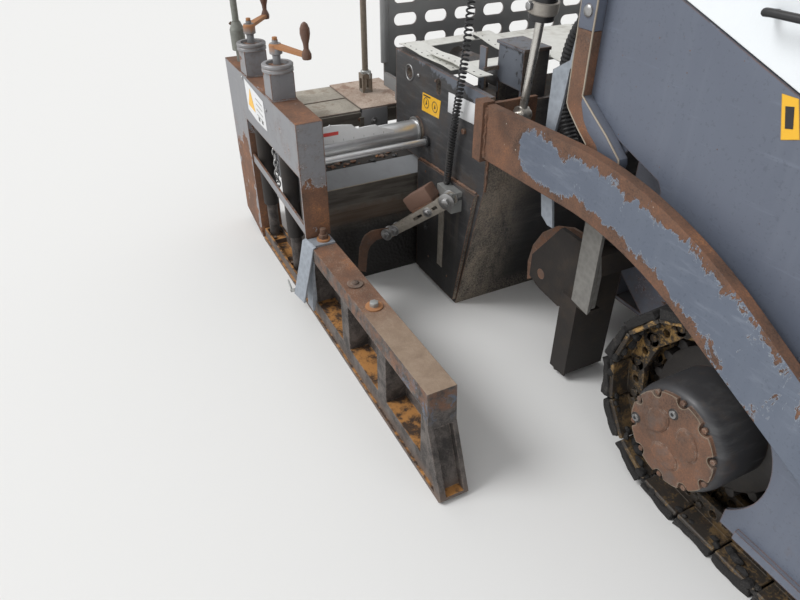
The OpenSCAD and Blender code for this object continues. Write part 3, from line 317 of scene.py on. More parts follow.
def armPaint(name, s=armBow):
    # rims and the rear third brown with rust, a jagged field of blue-grey paint between
    m = Finish(name)
    big, mid, fine = m.noises((3.4, 5, 0.6, 0.6), (13, 7, 0.70, 0.3), (85, 5, 0.65))
    reach = (m.x + -s["x"]).most(0.0)
    lift = m.z + -s["z"]
    off = (reach * reach + lift * lift) ** 0.5 - s["r"]
    rimTop = (off / s["half"]).step(0.25, 1.0)
    rimLow = (off / -s["half"]).step(0.30, 1.0)
    rear = 1 - m.x.step(-1.02, -0.88)
    front = m.x.step(-0.35, 0.10)
    torn = m.noise(7.5, 8, 0.74, 1.1, (1.7, 1.0, 0.75))
    wear = rimTop * 0.17 * (1 - front * 0.5) + rimLow * 0.19 * (1 - front * 0.4) + rear * 0.31
    wear = wear + big * 0.20 + mid * 0.24 + torn * 0.52 + fine * 0.12 + m.facing("Z", 0.4, 0.9) * 0.10
    rust = wear.step(0.640, 0.655)
    rim = wear.step(0.626, 0.637) * (1 - wear.step(0.640, 0.645))
    dust = m.facing("Z", 0.2, 0.9) * 0.30
    specks = (1 - m.cells(30).step(0.05, 0.10)) * m.noise(5, 3).step(0.50, 0.60)
    specks = specks * rimTop.most(rear).step(0.3, 0.9)
    color = m.over(
        paintLayers(m, (0.122, 0.145, 0.190), big, dust),
        (m.noise(44, 5, 0.6, 0.3, (0.25, 0.25, 1.0)).step(0.50, 0.75) * 0.4, (0.235, 0.265, 0.320)),
        (rim * 0.7, (0.30, 0.33, 0.37)),
        (rust, rustColor(m, 0.30)),
        (specks * 0.9, (0.66, 0.62, 0.54)),
        (m.noise(7, 5).step(0.55, 0.75) * rust * 0.5, rustColors["dark"]))
    height = rust * (0.2 + fine) + (1 - rust) * 0.35 + mid * 0.2
    return m.finish(color, 0.44 + rust * 0.34 + mid * 0.1, 0.0, (height, 0.0018, 0.85, 0.003))


def rustySteel(name, orange=0.45, sand=0.0, worn=0.5):
    m = Finish(name)
    big, mid, fine = m.noises((4.2, 5, 0.6, 0.5), (24, 6, 0.65), (220, 3, 0.6))
    scale = (big * 0.6 + mid * 0.4).step(0.50, 0.60)
    bright = m.edge(0.010, 0.05, 0.3) * m.noise(45, 4).step(0.45, 0.62)
    color = m.over(
        rustColor(m, orange),
        (scale * 0.5, (0.115, 0.095, 0.084)),
        (m.facing("Z", 0.5, 0.95) * m.noise(14, 5).step(0.42, 0.75) * (0.35 + sand), rustColors["dust"]),
        (bright * worn, (0.34, 0.27, 0.22)))
    height = fine * 0.5 + mid * 0.8 + scale * 0.2
    return m.finish(color, 0.78 - bright * 0.25 - scale * 0.12, 0.0, (height, 0.0018, 0.9, 0.003))


def skidSteel(name):
    # rust-brown top that turns sandy at the tip, dark sides, orange ledges inside the pockets
    m = Finish(name)
    big, mid, fine = m.noises((3.6, 5, 0.6, 0.5), (19, 7, 0.68, 0.3), (240, 4, 0.65))
    up = m.facing("Z", 0.5, 0.9)
    high = m.z.step(0.30, 0.33)
    tip = (m.x + big * 0.25).step(-0.98, -0.72)
    top = m.over(
        rustColor(m, 0.40),
        (tip, m.mix(mid, (0.150, 0.098, 0.066), (0.44, 0.335, 0.245))),
        ((fine * 0.6 + mid * 0.4).step(0.50, 0.62) * 0.4, (0.36, 0.29, 0.225)))
    lip = m.z.step(0.275, 0.290) * m.noise(26, 5, 0.6).step(0.40, 0.62)
    blue = m.z.step(0.22, 0.30) * (1 - m.z.step(0.355, 0.365)) * m.noise(21, 6, 0.7, 0.6).step(0.56, 0.60)
    sole = 1 - (m.z + mid * 0.05).step(0.035, 0.085)
    streak = m.noise(34, 4, 0.6, 0.0, (1, 1, 0.08)).step(0.55, 0.70)
    side = m.over(
        m.mix((mid * 0.7 + fine * 0.3).step(0.38, 0.64), (0.040, 0.035, 0.033), (0.150, 0.130, 0.118)),
        (lip * 0.9, rustColor(m, 0.40)),
        (blue * m.x.step(-0.80, -0.70), (0.115, 0.135, 0.175)),
        (sole * m.noise(11, 5).step(0.30, 0.6) * 0.8, (0.165, 0.118, 0.092)),
        (streak * 0.35, (0.19, 0.165, 0.15)))
    bright = m.edge(0.008, 0.05, 0.3) * m.noise(60, 4).step(0.42, 0.60)
    color = m.over(
        side,
        (up * high, top),
        (up * (1 - high), m.mix(mid.step(0.42, 0.60), (0.060, 0.036, 0.024), (0.46, 0.215, 0.062))),
        (bright * 0.55, (0.36, 0.29, 0.24)))
    pits = (fine * 0.7 + mid * 0.9, 0.0022, 0.95, 0.003)
    return m.finish(color, 0.72 + up * 0.12 - bright * 0.2, 0.0, pits)


def wornSteel(name, base, shine, grime):
    m = Finish(name)
    big, mid, rub = m.noises((2.6, 4, 0.55, 0.6), (14, 6, 0.62), (40, 5, 0.65, 0.2, (0.15, 0.15, 1.0)))
    brown = (mid * 0.6 + big * 0.4).step(0.52, 0.68) * grime
    rust = (m.edge(0.010, 0.04, 0.3) * 0.5 + mid * 0.5).step(0.62, 0.72)
    color = m.over(
        m.mix(big, shaded(base, 0.55), shaded(base, 1.9)),
        (rub.step(0.50, 0.72) * 0.35, shaded(base, 0.5, 0.14)),
        (brown * 0.6, (0.10, 0.066, 0.046)),
        (rust * 0.85, rustColor(m, 0.4)))
    rough = 0.38 + mid * 0.22 + brown * 0.22 + rust * 0.3 - rub.step(0.5, 0.7) * 0.1
    metal = (0.55 - brown * 0.4 - rust * 0.5).most(0.0) * shine * 2
    return m.finish(color, rough, metal, (mid * 0.6 + rub * 0.3 + rust * 0.4, 0.0012, 0.7, 0.003))


def screedSteel(name):
    # dark side with ragged blue-grey paint left under the top edge, tarred foot, dusty beige front corner
    # lightened as painted light on the shaded front face
    m = Finish(name)
    big, mid, fine = m.noises((2.6, 4, 0.55, 0.6), (14, 7, 0.68, 0.3), (150, 4, 0.65))
    rub = m.noise(46, 5, 0.65, 0.2, (0.15, 0.15, 1.0))
    front = m.facing("X", 0.4, 0.9)
    up = m.facing("Z", 0.6, 0.95)
    ragged = (m.z + mid * 0.20 - 0.10 + m.x * 0.10).step(0.735, 0.747)
    left = ragged * (m.noise(24, 6, 0.7, 0.6) * 0.6 + big * 0.4).step(0.40, 0.43) * (1 - front)
    smear = m.noise(30, 5, 0.65, 0.4, (1, 1, 0.10)).step(0.48, 0.60) * (1 - m.z.step(0.42, 0.58))
    tar = 1 - (m.z + mid * 0.24 - 0.12).step(0.20, 0.44)
    beige = (m.noise(6, 6, 0.7, 0.6, (1, 1, 0.4)) * 0.6 + fine * 0.4).step(0.36, 0.60)
    # the front corner's beige is dust, made lighter as painted light where the front face lies in shade
    corner = front * abs(m.y).step(0.62, 0.86) * beige
    foot = front * (1 - m.z.step(0.03, 0.10)) * fine.step(0.4, 0.6)
    rust = (m.edge(0.010, 0.04, 0.3) * 0.55 + mid * 0.5).step(0.60, 0.70)
    color = m.over(
        m.mix(big, (0.030, 0.030, 0.033), (0.090, 0.090, 0.094)),
        (rub.step(0.46, 0.74) * 0.55, (0.150, 0.148, 0.146)),
        ((mid * 0.6 + big * 0.4).step(0.50, 0.66) * 0.45, (0.105, 0.070, 0.048)),
        (left, m.mix(mid, (0.115, 0.130, 0.160), (0.210, 0.230, 0.265))),
        (smear * 0.5 * (1 - front), (0.135, 0.120, 0.104)),
        (tar * 0.85, (0.014, 0.013, 0.013)),
        (corner * 0.85, (0.400, 0.335, 0.262)),
        (foot * 0.6, (0.25, 0.215, 0.175)),
        (up * (mid * 0.5 + fine * 0.5).step(0.38, 0.62) * 0.6, (0.165, 0.120, 0.088)),
        (rust * 0.85, rustColor(m, 0.42)))
    rough = 0.40 + mid * 0.22 + rust * 0.3 + tar * 0.05 + corner * 0.3
    height = mid * 0.7 + rub * 0.3 + fine * 0.3 + corner * 0.4
    return m.finish(color, rough, (0.30 - rust * 0.3 - corner * 0.3).most(0.0), (height, 0.0018, 0.8, 0.003))


def tarredSteel(name):
    # rubbed steel at the top, brown band under it, black tar below
    m = Finish(name)
    big, mid, long = m.noises((5, 5, 0.6, 0.8), (22, 6, 0.65), (50, 5, 0.6, 0.3, (1.0, 0.10, 1.0)))
    level = m.z + mid * 0.06 - 0.03
    slope = m.facing("Z", 0.25, 0.75) * level.step(0.42, 0.45)
    low = 1 - level.step(0.22, 0.33)
    band = level.step(0.26, 0.31) * (1 - level.step(0.345, 0.375))
    color = m.over(
        m.mix(big, (0.090, 0.080, 0.070), (0.215, 0.195, 0.168)),
        (long.step(0.42, 0.66) * 0.6, (0.050, 0.040, 0.033)),
        (slope * (0.55 + long * 0.5), (0.34, 0.335, 0.32)),
        (band * 0.6, (0.120, 0.072, 0.044)),
        (low * 0.95, (0.011, 0.010, 0.010)),
        ((mid * 0.6 + big * 0.4).step(0.58, 0.68) * 0.4, (0.085, 0.058, 0.042)),
        (m.edge(0.008, 0.05, 0.3) * 0.6 * level.step(0.36, 0.42), (0.46, 0.41, 0.32)))
    height = mid + m.cells(70) * low * 1.5
    return m.finish(color, 0.46 + mid * 0.2 - low * 0.12, (1 - low) * 0.25, (height, 0.0022, 0.8, 0.003))


def boardDust(name, low, high, brown):
    # dusty walkway board, rubbed bare along its edges
    m = Finish(name)
    big, fine = m.noises((6, 6, 0.65, 0.6), (160, 5, 0.7))
    color = m.over(
        m.mix((big * 0.5 + fine * 0.5).step(0.30, 0.70), low, high),
        (m.noise(12, 6, 0.7).step(0.52, 0.62) * 0.7, brown),
        ((1 - m.facing("Z", 0.5, 0.9)) * 0.55, (0.13, 0.13, 0.135)),
        (m.edge(0.010, 0.05, 0.3) * 0.7, rustColor(m, 0.35)))
    return m.finish(color, 0.82, 0.0, (fine * 0.7 + big * 0.5, 0.002, 0.9, 0.003))


def galvanised(name, color, blotch):
    m = Finish(name)
    big, fine = m.noises((7, 5, 0.6, 0.8), (190, 4, 0.6))
    spangle = m.cells(55)
    color = m.over(
        m.mix(big * 0.6 + spangle * 0.5, shaded(color, 0.72), shaded(color, 1.35)),
        ((big * 0.5 + fine * 0.5).step(0.54, 0.64) * blotch, (0.15, 0.125, 0.095)),
        (m.edge(0.006, 0.05, 0.3) * 0.4, (0.16, 0.13, 0.10)))
    return m.finish(color, 0.52 + fine * 0.15, 0.35, (fine + spangle * 0.4, 0.0009, 0.8, 0.002))


def smoothMetal(name, color, rough=0.18, grime=0.25, metal=1.0, lines=(1, 1, 1)):
    m = Finish(name)
    mid, rub = m.noises((30, 5, 0.6), (120, 3, 0.6, 0.0, lines))
    dirt = (m.noise(8, 6, 0.65, 0.4) * 0.7 + mid * 0.3).step(0.50, 0.72) * grime
    color = m.over(m.mix(rub, shaded(color, 0.82), shaded(color, 1.12)), (dirt, (0.13, 0.095, 0.065)))
    worn = rough + dirt * 0.5 + rub * 0.08
    return m.finish(color, worn, metal - dirt * 0.8 * metal, (rub, 0.0004, 0.35, 0.0015))


def plainCoat(name, color, rough, dirt, dirtColor=(0.25, 0.22, 0.18), grain=180, depth=0.0005, coat=None,
              edge=0.25):
    m = Finish(name)
    big, fine = m.noises((2.2, 5, 0.6, 0.4), (grain, 3, 0.6))
    mask = (big * 0.6 + m.noise(20, 6, 0.65) * 0.4).step(0.46, 0.78) * dirt
    tone = m.over(
        m.mix(big, shaded(color, 0.92), shaded(color, 1.06)),
        (mask, dirtColor),
        # along edges and in creases the coat turns to a darker copy of itself: painted shade
        (m.edge(0.006, 0.05, 0.35) * edge, shaded(color, 0.55, 0.04)))
    return m.finish(tone, rough + mask * 0.35, 0.0, (fine, depth, 0.6, 0.003), coat)


def gloss(name, color, rough, dirt, coat, edge=0.25):
    return plainCoat(name, color, rough, dirt, coat=coat, edge=edge)


def dirtyRubber(name):
    m = Finish(name)
    big, fine = m.noises((11, 6, 0.65, 0.6), (260, 3, 0.6))
    dust = (big * 0.6 + fine * 0.4).step(0.50, 0.70)
    color = m.mix(dust * 0.5, (0.015, 0.014, 0.014), (0.135, 0.122, 0.108))
    height = big * 0.8 + m.cells(120) * 0.5 + fine * 0.3
    return m.finish(color, 0.75 + fine * 0.2, 0.0, (height, 0.004, 0.9))


def greasyLink(name):
    # ochre clay in patches over black grease
    m = Finish(name)
    big, fine = m.noises((13, 6, 0.68, 0.8), (150, 4, 0.6))
    # the ochre patches thin out towards the bottom, so the chain is darker lower down
    clay = (big * 0.7 + fine * 0.3).step(0.470, 0.570) * (0.30 + 0.70 * m.z.step(0.22, 0.46))
    color = m.over(
        (0.034, 0.028, 0.023),
        (clay, m.mix(fine, (0.24, 0.135, 0.045), (0.55, 0.34, 0.12))),
        (m.noise(60, 4).step(0.54, 0.64) * 0.7, (0.050, 0.034, 0.024)),
        (m.edge(0.006, 0.05, 0.3) * 0.35, (0.34, 0.29, 0.23)))
    return m.finish(color, 0.55 + clay * 0.3, 0.0, (big + fine * 0.5, 0.003, 0.9, 0.002))


# key: function, name of the material and the function's values
finishTable = {
    "gate": (wornPaint, "gatePaint", paints["gate"], gateWear),
    "panel": (wornPaint, "panelPaint", paints["panel"]),
    "chassis": (wornPaint, "chassisPaint", paints["chassis"]),
    "hopper": (wornPaint, "hopperPaint", paints["hopper"]),
    "arm": (armPaint, "armPaint"),
    "rusty": (rustySteel, "rustySteel", 0.36),
    "skid": (skidSteel, "rustySkid"),
    "rustyBolt": (rustySteel, "rustyBolt", 0.22, 0.2),
    "driveRust": (rustySteel, "driveCover", 0.26, 0.1, 0.9),
    "stripRust": (rustySteel, "stripRust", 0.35, 0.15),
    "drum": (wornSteel, "drumSide", (0.040, 0.040, 0.043), 0.12, 0.95),
    "cap": (wornSteel, "towerCap", (0.250, 0.253, 0.262), 0.4, 0.30),
    "guard": (wornSteel, "guardSteel", (0.245, 0.248, 0.250), 0.30, 0.25),
    "screed": (screedSteel, "screedSide"),
    "extension": (tarredSteel, "extensionSteel"),
    "boardGrey": (boardDust, "greyBoard", (0.25, 0.225, 0.185), (0.50, 0.455, 0.385), (0.26, 0.21, 0.16)),
    "boardBrown": (boardDust, "brownBoard", (0.29, 0.205, 0.155), (0.58, 0.48, 0.40), (0.21, 0.115, 0.075)),
    "sensorSteel": (galvanised, "sensorSteel", (0.265, 0.240, 0.205), 0.70),
    "pole": (galvanised, "poleSteel", (0.240, 0.200, 0.158), 0.60),
    "column": (galvanised, "columnSteel", (0.270, 0.262, 0.245), 0.60),
    "mast": (galvanised, "mastSteel", (0.215, 0.222, 0.200), 0.45),
    "bracket": (galvanised, "bracketSteel", (0.300, 0.330, 0.370), 0.15),
    "chrome": (smoothMetal, "chromedTube", (0.78, 0.79, 0.80), 0.27, 0.25, 0.85, (1, 0.05, 1)),
    "rod": (smoothMetal, "cylinderRod", (0.66, 0.64, 0.60), 0.24, 0.85, 0.9),
    "bare": (smoothMetal, "bareSteel", (0.42, 0.42, 0.42), 0.34, 0.45),
    "zinc": (smoothMetal, "zincSteel", (0.40, 0.41, 0.40), 0.46, 0.35, 0.6),
    "gland": (smoothMetal, "glandSteel", (0.46, 0.43, 0.39), 0.42, 0.7, 0.6),
    "orangeRust": (plainCoat, "orangeRust", (0.400, 0.185, 0.078), 0.72, 0.75, (0.150, 0.080, 0.050), 120,
                   0.0016),
    # thin bead round the drive cover: worn metal, lightened into a painted highlight line
    "dullRim": (plainCoat, "dullRim", (0.270, 0.215, 0.155), 0.50, 0.9, (0.12, 0.085, 0.06), 90, 0.001),
    # light beads along edges: worn metal and a painted highlight line
    "wornRim": (plainCoat, "wornRim", (0.430, 0.370, 0.290), 0.42, 0.55, (0.16, 0.11, 0.075), 90, 0.001),
    "handle": (plainCoat, "crankHandle", (0.135, 0.066, 0.042), 0.42, 0.5, (0.07, 0.035, 0.022), 60, 0.001,
               0.15),
    # near-black steel: grime, and on the auger support also painted shade of the hollow under the machine
    "grime": (plainCoat, "grimySteel", (0.026, 0.022, 0.020), 0.72, 0.60, (0.095, 0.068, 0.048), 60, 0.002,
              None, 0.08),
    "slope": (plainCoat, "slopeSteel", (0.330, 0.342, 0.360), 0.38, 0.55, (0.130, 0.115, 0.098), 42, 0.0012),
    "dirtyWhite": (plainCoat, "dirtyWhite", (0.74, 0.74, 0.70), 0.55, 0.85, (0.30, 0.27, 0.22), 60, 0.001),
    "cover": (plainCoat, "primerBrown", (0.175, 0.098, 0.070), 0.62, 0.65, (0.10, 0.075, 0.055), 90, 0.0012),
    "cast": (plainCoat, "darkCasting", (0.040, 0.036, 0.034), 0.55, 0.65, (0.13, 0.105, 0.08), 60, 0.0020),
    "plastic": (plainCoat, "blackPlastic", (0.020, 0.020, 0.022), 0.50, 0.30, (0.25, 0.22, 0.18), 420),
    "vinyl": (plainCoat, "seatVinyl", (0.024, 0.024, 0.026), 0.52, 0.12, (0.25, 0.22, 0.18), 520, 0.0008),
    "black": (plainCoat, "blackPaint", (0.022, 0.022, 0.024), 0.40, 0.30),
    "label": (plainCoat, "whiteLabel", (0.78, 0.79, 0.80), 0.42, 0.22),
    "warning": (plainCoat, "yellowLabel", (0.90, 0.50, 0.03), 0.40, 0.10),
    "red": (plainCoat, "redMark", (0.68, 0.06, 0.05), 0.45, 0.15),
    "rubberFlap": (plainCoat, "rubberFlap", (0.022, 0.022, 0.022), 0.75, 0.55),
    "white": (gloss, "whitePaint", (0.88, 0.92, 0.96), 0.30, 0.05, 0.3, 0.05),
    "yellow": (gloss, "yellowPaint", (0.86, 0.42, 0.035), 0.38, 0.22, 0.2),
    "lens": (gloss, "lampLens", (0.80, 0.82, 0.84), 0.12, 0.05, 0.6),
    "screen": (gloss, "panelScreen", (0.03, 0.045, 0.05), 0.12, 0.05, 0.6),
    "rubber": (dirtyRubber, "padRubber"),
    "link": (greasyLink, "trackLink"),
}
finishes = {key: function(name, *values) for key, (function, name, *values) in finishTable.items()}


# Modelling tools

def deselect():
    if bpy.context.object and bpy.context.object.mode != "OBJECT":
        bpy.ops.object.mode_set(mode="OBJECT")
    bpy.ops.object.select_all(action="DESELECT")


def active(o):
    deselect()
    o.select_set(True)
    bpy.context.view_layer.objects.active = o
    return o


def startEdit(o):
    active(o)
    bpy.ops.object.mode_set(mode="EDIT")
    bpy.ops.mesh.select_all(action="SELECT")


def endEdit():
    bpy.ops.mesh.select_all(action="SELECT")
    bpy.ops.mesh.normals_make_consistent(inside=False)
    bpy.ops.object.mode_set(mode="OBJECT")


def settle(o, finish):
    active(o)
    bpy.ops.object.transform_apply(location=True, rotation=True, scale=True)
    o.data.materials.clear()
    o.data.materials.append(finishes[finish])
    return o


def modified(o, kind, **settings):
    active(o)
    m = o.modifiers.new(kind, kind)
    for key, value in settings.items():
        setattr(m, key, value)
    bpy.ops.object.modifier_apply(modifier=m.name)
    return o


def bevelled(o, width, segments=2):
    if width:
        sharp = math.radians(35)
        modified(o, "BEVEL", width=width, segments=segments, limit_method="ANGLE", angle_limit=sharp)
    return o


def cutBy(o, tool):
    modified(o, "BOOLEAN", operation="DIFFERENCE", object=tool)
    bpy.data.objects.remove(tool, do_unlink=True)
    return o


def block(low, high, finish, round=0.003, segments=2):
    deselect()
    bpy.ops.mesh.primitive_cube_add(size=1, location=[(a + b) / 2 for a, b in zip(low, high)])
    o = bpy.context.object
    o.scale = [b - a for a, b in zip(low, high)]
    return bevelled(settle(o, finish), round, segments)


def rod(a, b, r, finish, round=0.002, sides=32):
    deselect()
    a, b = Vector(a), Vector(b)
    ends = {"radius1": r, "radius2": r, "depth": (b - a).length, "location": (a + b) / 2}
    bpy.ops.mesh.primitive_cone_add(vertices=sides, **ends)
    o = bpy.context.object
    o.rotation_euler = (b - a).to_track_quat("Z", "Y").to_euler()
    return bevelled(settle(o, finish), round, 2)


def plate(outline, axis, start, depth, finish, round=0.002, segments=2):
    # closed outline in the plane across the axis, extruded along it
    rest = [k for k in range(3) if k != axis]
    deselect()
    bpy.ops.mesh.primitive_circle_add(vertices=len(outline), fill_type="NGON")
    o = bpy.context.object
    for v, (a, b) in zip(o.data.vertices, outline):
        v.co[rest[0]], v.co[rest[1]], v.co[axis] = a, b, start
    move = [0, 0, 0]
    move[axis] = depth
    startEdit(o)
    bpy.ops.mesh.extrude_region_move(TRANSFORM_OT_translate={"value": move})
    endEdit()
    return bevelled(settle(o, finish), round, segments)


def lathe(profile, place, finish, sides=32, axis=upward):
    # turned piece: a disc extruded and scaled along its profile of radius and height
    tiny = 0.0002
    rows = [(max(r, tiny), h) for r, h in profile]
    r, h = rows[0]
    deselect()
    bpy.ops.mesh.primitive_circle_add(vertices=sides, radius=r, fill_type="NGON", location=(0, 0, h))
    o = bpy.context.object
    startEdit(o)
    for (ra, ha), (rb, hb) in zip(rows, rows[1:]):
        bpy.ops.mesh.extrude_region_move(TRANSFORM_OT_translate={"value": (0, 0, hb - ha)})
        bpy.ops.transform.resize(value=(rb / ra, rb / ra, 1), center_override=(0, 0, hb))
    endEdit()
    settle(o, finish)
    turn = Vector(axis).to_track_quat("Z", "Y").to_matrix().to_4x4()
    o.data.transform(Matrix.Translation(place) @ turn)
    return o


def sweep(points, r, finish, sides=12, close=False, radii=None):
    curve = bpy.data.curves.new("sweep", "CURVE")
    curve.dimensions = "3D"
    curve.bevel_depth = r
    curve.bevel_resolution = max(1, sides // 4)
    curve.use_fill_caps = True
    line = curve.splines.new("POLY")
    line.points.add(len(points) - 1)
    for k, p in enumerate(points):
        line.points[k].co = (*p, 1)
        line.points[k].radius = radii[k] if radii else 1.0
    line.use_cyclic_u = close
    o = bpy.data.objects.new("sweep", curve)
    bpy.context.scene.collection.objects.link(o)
    active(o)
    bpy.ops.object.convert(target="MESH")
    return settle(bpy.context.object, finish)


def ribbon(points, wide, thick, finish):
    # flat strip: a plane set on the first two points, its far edge extruded from point to point
    deselect()
    bpy.ops.mesh.primitive_plane_add(size=1)
    o = bpy.context.object
    w = Vector(wide)
    for v, c in zip(o.data.vertices, (points[0] - w, points[0] + w, points[1] - w, points[1] + w)):
        v.co = c
    for part in (o.data.vertices, o.data.edges, o.data.polygons):
        part.foreach_set("select", [False] * len(part))
    for v in o.data.vertices[2:]:
        v.select = True
    bpy.context.tool_settings.mesh_select_mode = (True, False, False)
    bpy.ops.object.mode_set(mode="EDIT")
    for a, b in zip(points[1:], points[2:]):
        bpy.ops.mesh.extrude_region_move(TRANSFORM_OT_translate={"value": b - a})
    bpy.ops.object.mode_set(mode="OBJECT")
    modified(settle(o, finish), "SOLIDIFY", thickness=thick, offset=0)
    return bevelled(o, thick * 0.2, 1)


def smoothPath(points, n=8):
    # evenly rounded line through the points
    ps = [Vector(p) for p in points]
    out = []
    for i in range(len(ps) - 1):
        a, b, c, d = ps[max(i - 1, 0)], ps[i], ps[i + 1], ps[min(i + 2, len(ps) - 1)]
        for k in range(n):
            t = k / n
            bend = (2 * a - 5 * b + 4 * c - d) * t * t + (3 * b - a - 3 * c + d) * t ** 3
            out.append(0.5 * (2 * b + (c - a) * t + bend))
    return out + [ps[-1]]


def ring(center, r, n, u=forward, v=upward, start=0.0, high=None):
    # points round a circle, or round an ellipse that is r along u and high along v
    c, u, v = Vector(center), Vector(u), Vector(v)
    turns = [math.radians(start) + 2 * math.pi * k / n for k in range(n)]
    return [c + r * math.cos(a) * u + (high or r) * math.sin(a) * v for a in turns]


def roughened(o, size, amount, seed=0.0):
    # small uneven displacement of every vertex
    for v in o.data.vertices:
        n = noise.noise_vector(v.co * size + Vector((seed, seed * 1.7, seed * 0.3)))
        v.co += n * amount
    return o


def weld(a, b, n, r, finish, size, amount):
    # uneven bead from one place to another
    a, b = Vector(a), Vector(b)
    return roughened(sweep([a.lerp(b, k / n) for k in range(n + 1)], r, finish, 8), size, amount)


def shifted(outline, a, b):
    return [(x + a, y + b) for x, y in outline]


def subdivided(o, cuts):
    startEdit(o)
    bpy.ops.mesh.subdivide(number_cuts=cuts)
    bpy.ops.object.mode_set(mode="OBJECT")
    return o


def joined(parts):
    deselect()
    for p in parts:
        p.select_set(True)
    bpy.context.view_layer.objects.active = parts[0]
    if len(parts) > 1:
        bpy.ops.object.join()
    return bpy.context.view_layer.objects.active


def copied(o, matrix):
    twin = o.copy()
    twin.data = o.data.copy()
    twin.data.transform(matrix)
    bpy.context.scene.collection.objects.link(twin)
    return twin


def mirrored(o):
    twin = copied(o, Matrix.Scale(-1, 4, (0, 1, 0)))
    twin.data.flip_normals()
    return twin


def placed(parts, name, body, instead=(), both=True, angle=0.7):
    # joins the parts, names the piece, sets it on its body and gives the left side a mirrored twin;
    # * stands for the side
    o = active(joined(parts))
    bpy.ops.object.shade_smooth_by_angle(angle=angle)
    made = [(o, "right")] + ([(mirrored(o), "left")] if both else [])
    for piece, side in made:
        piece.name = name.replace("*", side.capitalize())
        piece.data.name = piece.name
        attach(piece, body.replace("*", side))
        if instead:
            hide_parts(*[n.replace("*", side) for n in instead])
    return [m[0] for m in made]


# Bolts of one kind at some places: hex, washer or dome

domeProfile = [(1, 0), (0.98, 0.2), (0.8, 0.5), (0.45, 0.68), (0, 0.74)]


def bolts(kind, r, finish, axis, *places):
    d = Vector(axis).normalized()
    parts = []
    for p in map(Vector, places):
        if kind == "dome":
            parts.append(lathe([(r * a, r * b) for a, b in domeProfile], p, finish, 18, d))
            continue
        if kind == "washer":
            parts.append(rod(p - d * 0.001, p + d * r * 0.25, r * 1.9, finish, r * 0.06, 28))
            p = p + d * r * 0.25
        parts.append(bevelled(rod(p - d * 0.001, p + d * r * 0.95, r, finish, 0, 6), r * 0.12, 2))
    return parts


# Cords first: route points repeat the source's lists, in metres

curly = {"route": [(-1.405, 0.530), (-1.400, 0.570), (-1.381, 0.712), (-1.343, 0.903), (-1.318, 1.040),
                   (-1.305, 1.163), (-1.297, 1.300), (-1.295, 1.400)],
         "y": -0.930, "r": 0.0115, "wire": 0.0033, "turns": 62, "steps": 16, "closer": 0.35, "fade": 10}


def measured(path):
    # gives the point and direction at a share of the path's length, and that length
    sums = [0.0]
    for a, b in zip(path, path[1:]):
        sums.append(sums[-1] + (b - a).length)

    def spot(t):
        at = t * sums[-1]
        i = next((j for j, v in enumerate(sums) if v >= at), len(sums) - 1) - 1
        i = min(max(i, 0), len(path) - 2)
        f = (at - sums[i]) / (sums[i + 1] - sums[i])
        return path[i].lerp(path[i + 1], f), (path[i + 1] - path[i]).normalized()

    return spot, sums[-1]


def curlyCord(s):
    spot = measured(smoothPath([(x, s["y"], z) for x, z in s["route"]], 24))[0]
    count = s["turns"] * s["steps"]
    across = Vector((0, 1, 0))
    points = []
    for k in range(count + 1):
        t = k / count
        p, d = spot(s["closer"] * t * t + (1 - s["closer"]) * t)  # closer turns at the lower end
        a = 2 * math.pi * s["turns"] * t
        fade = min(1, k / s["fade"], (count - k) / s["fade"])
        points.append(p + s["r"] * fade * (math.cos(a) * d.cross(across).normalized() + math.sin(a) * across))
    length = sum((b - a).length for a, b in zip(points, points[1:]))
    for side, flip in (("right", 1), ("left", -1)):
        path = [(p.x, p.y * flip, p.z) for p in points]
        o = sweep(path, s["wire"], "plastic", 8)
        o.name = o.data.name = "curlyCord" + side.capitalize()
        bpy.ops.object.shade_smooth()
        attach(o, "screed")
        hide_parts("sensor_cord_" + side)
    return length


hose = {"route": [(-0.790, 1.209), (-0.830, 1.212), (-0.885, 1.215), (-0.950, 1.208), (-1.010, 1.178),
                  (-1.056, 1.118), (-1.080, 1.038), (-1.080, 0.950), (-1.058, 0.865), (-1.012, 0.790),
                  (-0.950, 0.732), (-0.880, 0.690), (-0.815, 0.652), (-0.768, 0.612), (-0.745, 0.550)],
        "y": -0.700, "r": 0.027, "ribs": 74, "dip": 0.88}


def corrugatedHose(s):
    # tube whose radius dips between its ribs
    path = smoothPath([(x, s["y"], z) for x, z in s["route"]], 10)
    spot, total = measured(path)
    count = 4 * s["ribs"]
    half = (1 + s["dip"]) / 2
    swell = [(1, half, s["dip"], half)[k % 4] for k in range(count + 1)]
    o = sweep([spot(k / count)[0] for k in range(count + 1)], s["r"], "plastic", 20, radii=swell)
    o.name = o.data.name = "corrugatedHose"
    bpy.ops.object.shade_smooth_by_angle(angle=0.9)
    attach(o, "tractor")
    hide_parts("hydraulic_hose")


# Tracks: shoes with rubber pads and chain links along the loop

# the link's outline gives shares of the pitch and heights over its low edge, None being the shoe plate
track = {"shoes": 44, "axleZ": 0.330, "rear": -0.175, "base": 1.950, "mid": -0.775, "width": 0.250,
         "pad": 0.030, "plate": 0.012, "link": 0.060, "linkY": (-0.046, 0.030), "patterns": 4, "lumps": 6,
         "lump": (0.007, 0.015), "holes": ((-0.30, 0.0095), (0.02, 0.0125)),
         "pin": (0.5, -0.062, 0.048, 0.0125),
         "outline": ((-0.60, 0.022), (-0.52, 0.004), (-0.30, 0), (0.30, 0), (0.52, 0.004), (0.60, 0.022),
                     (0.58, 0.042), (0.40, None), (-0.40, None), (-0.58, 0.042))}


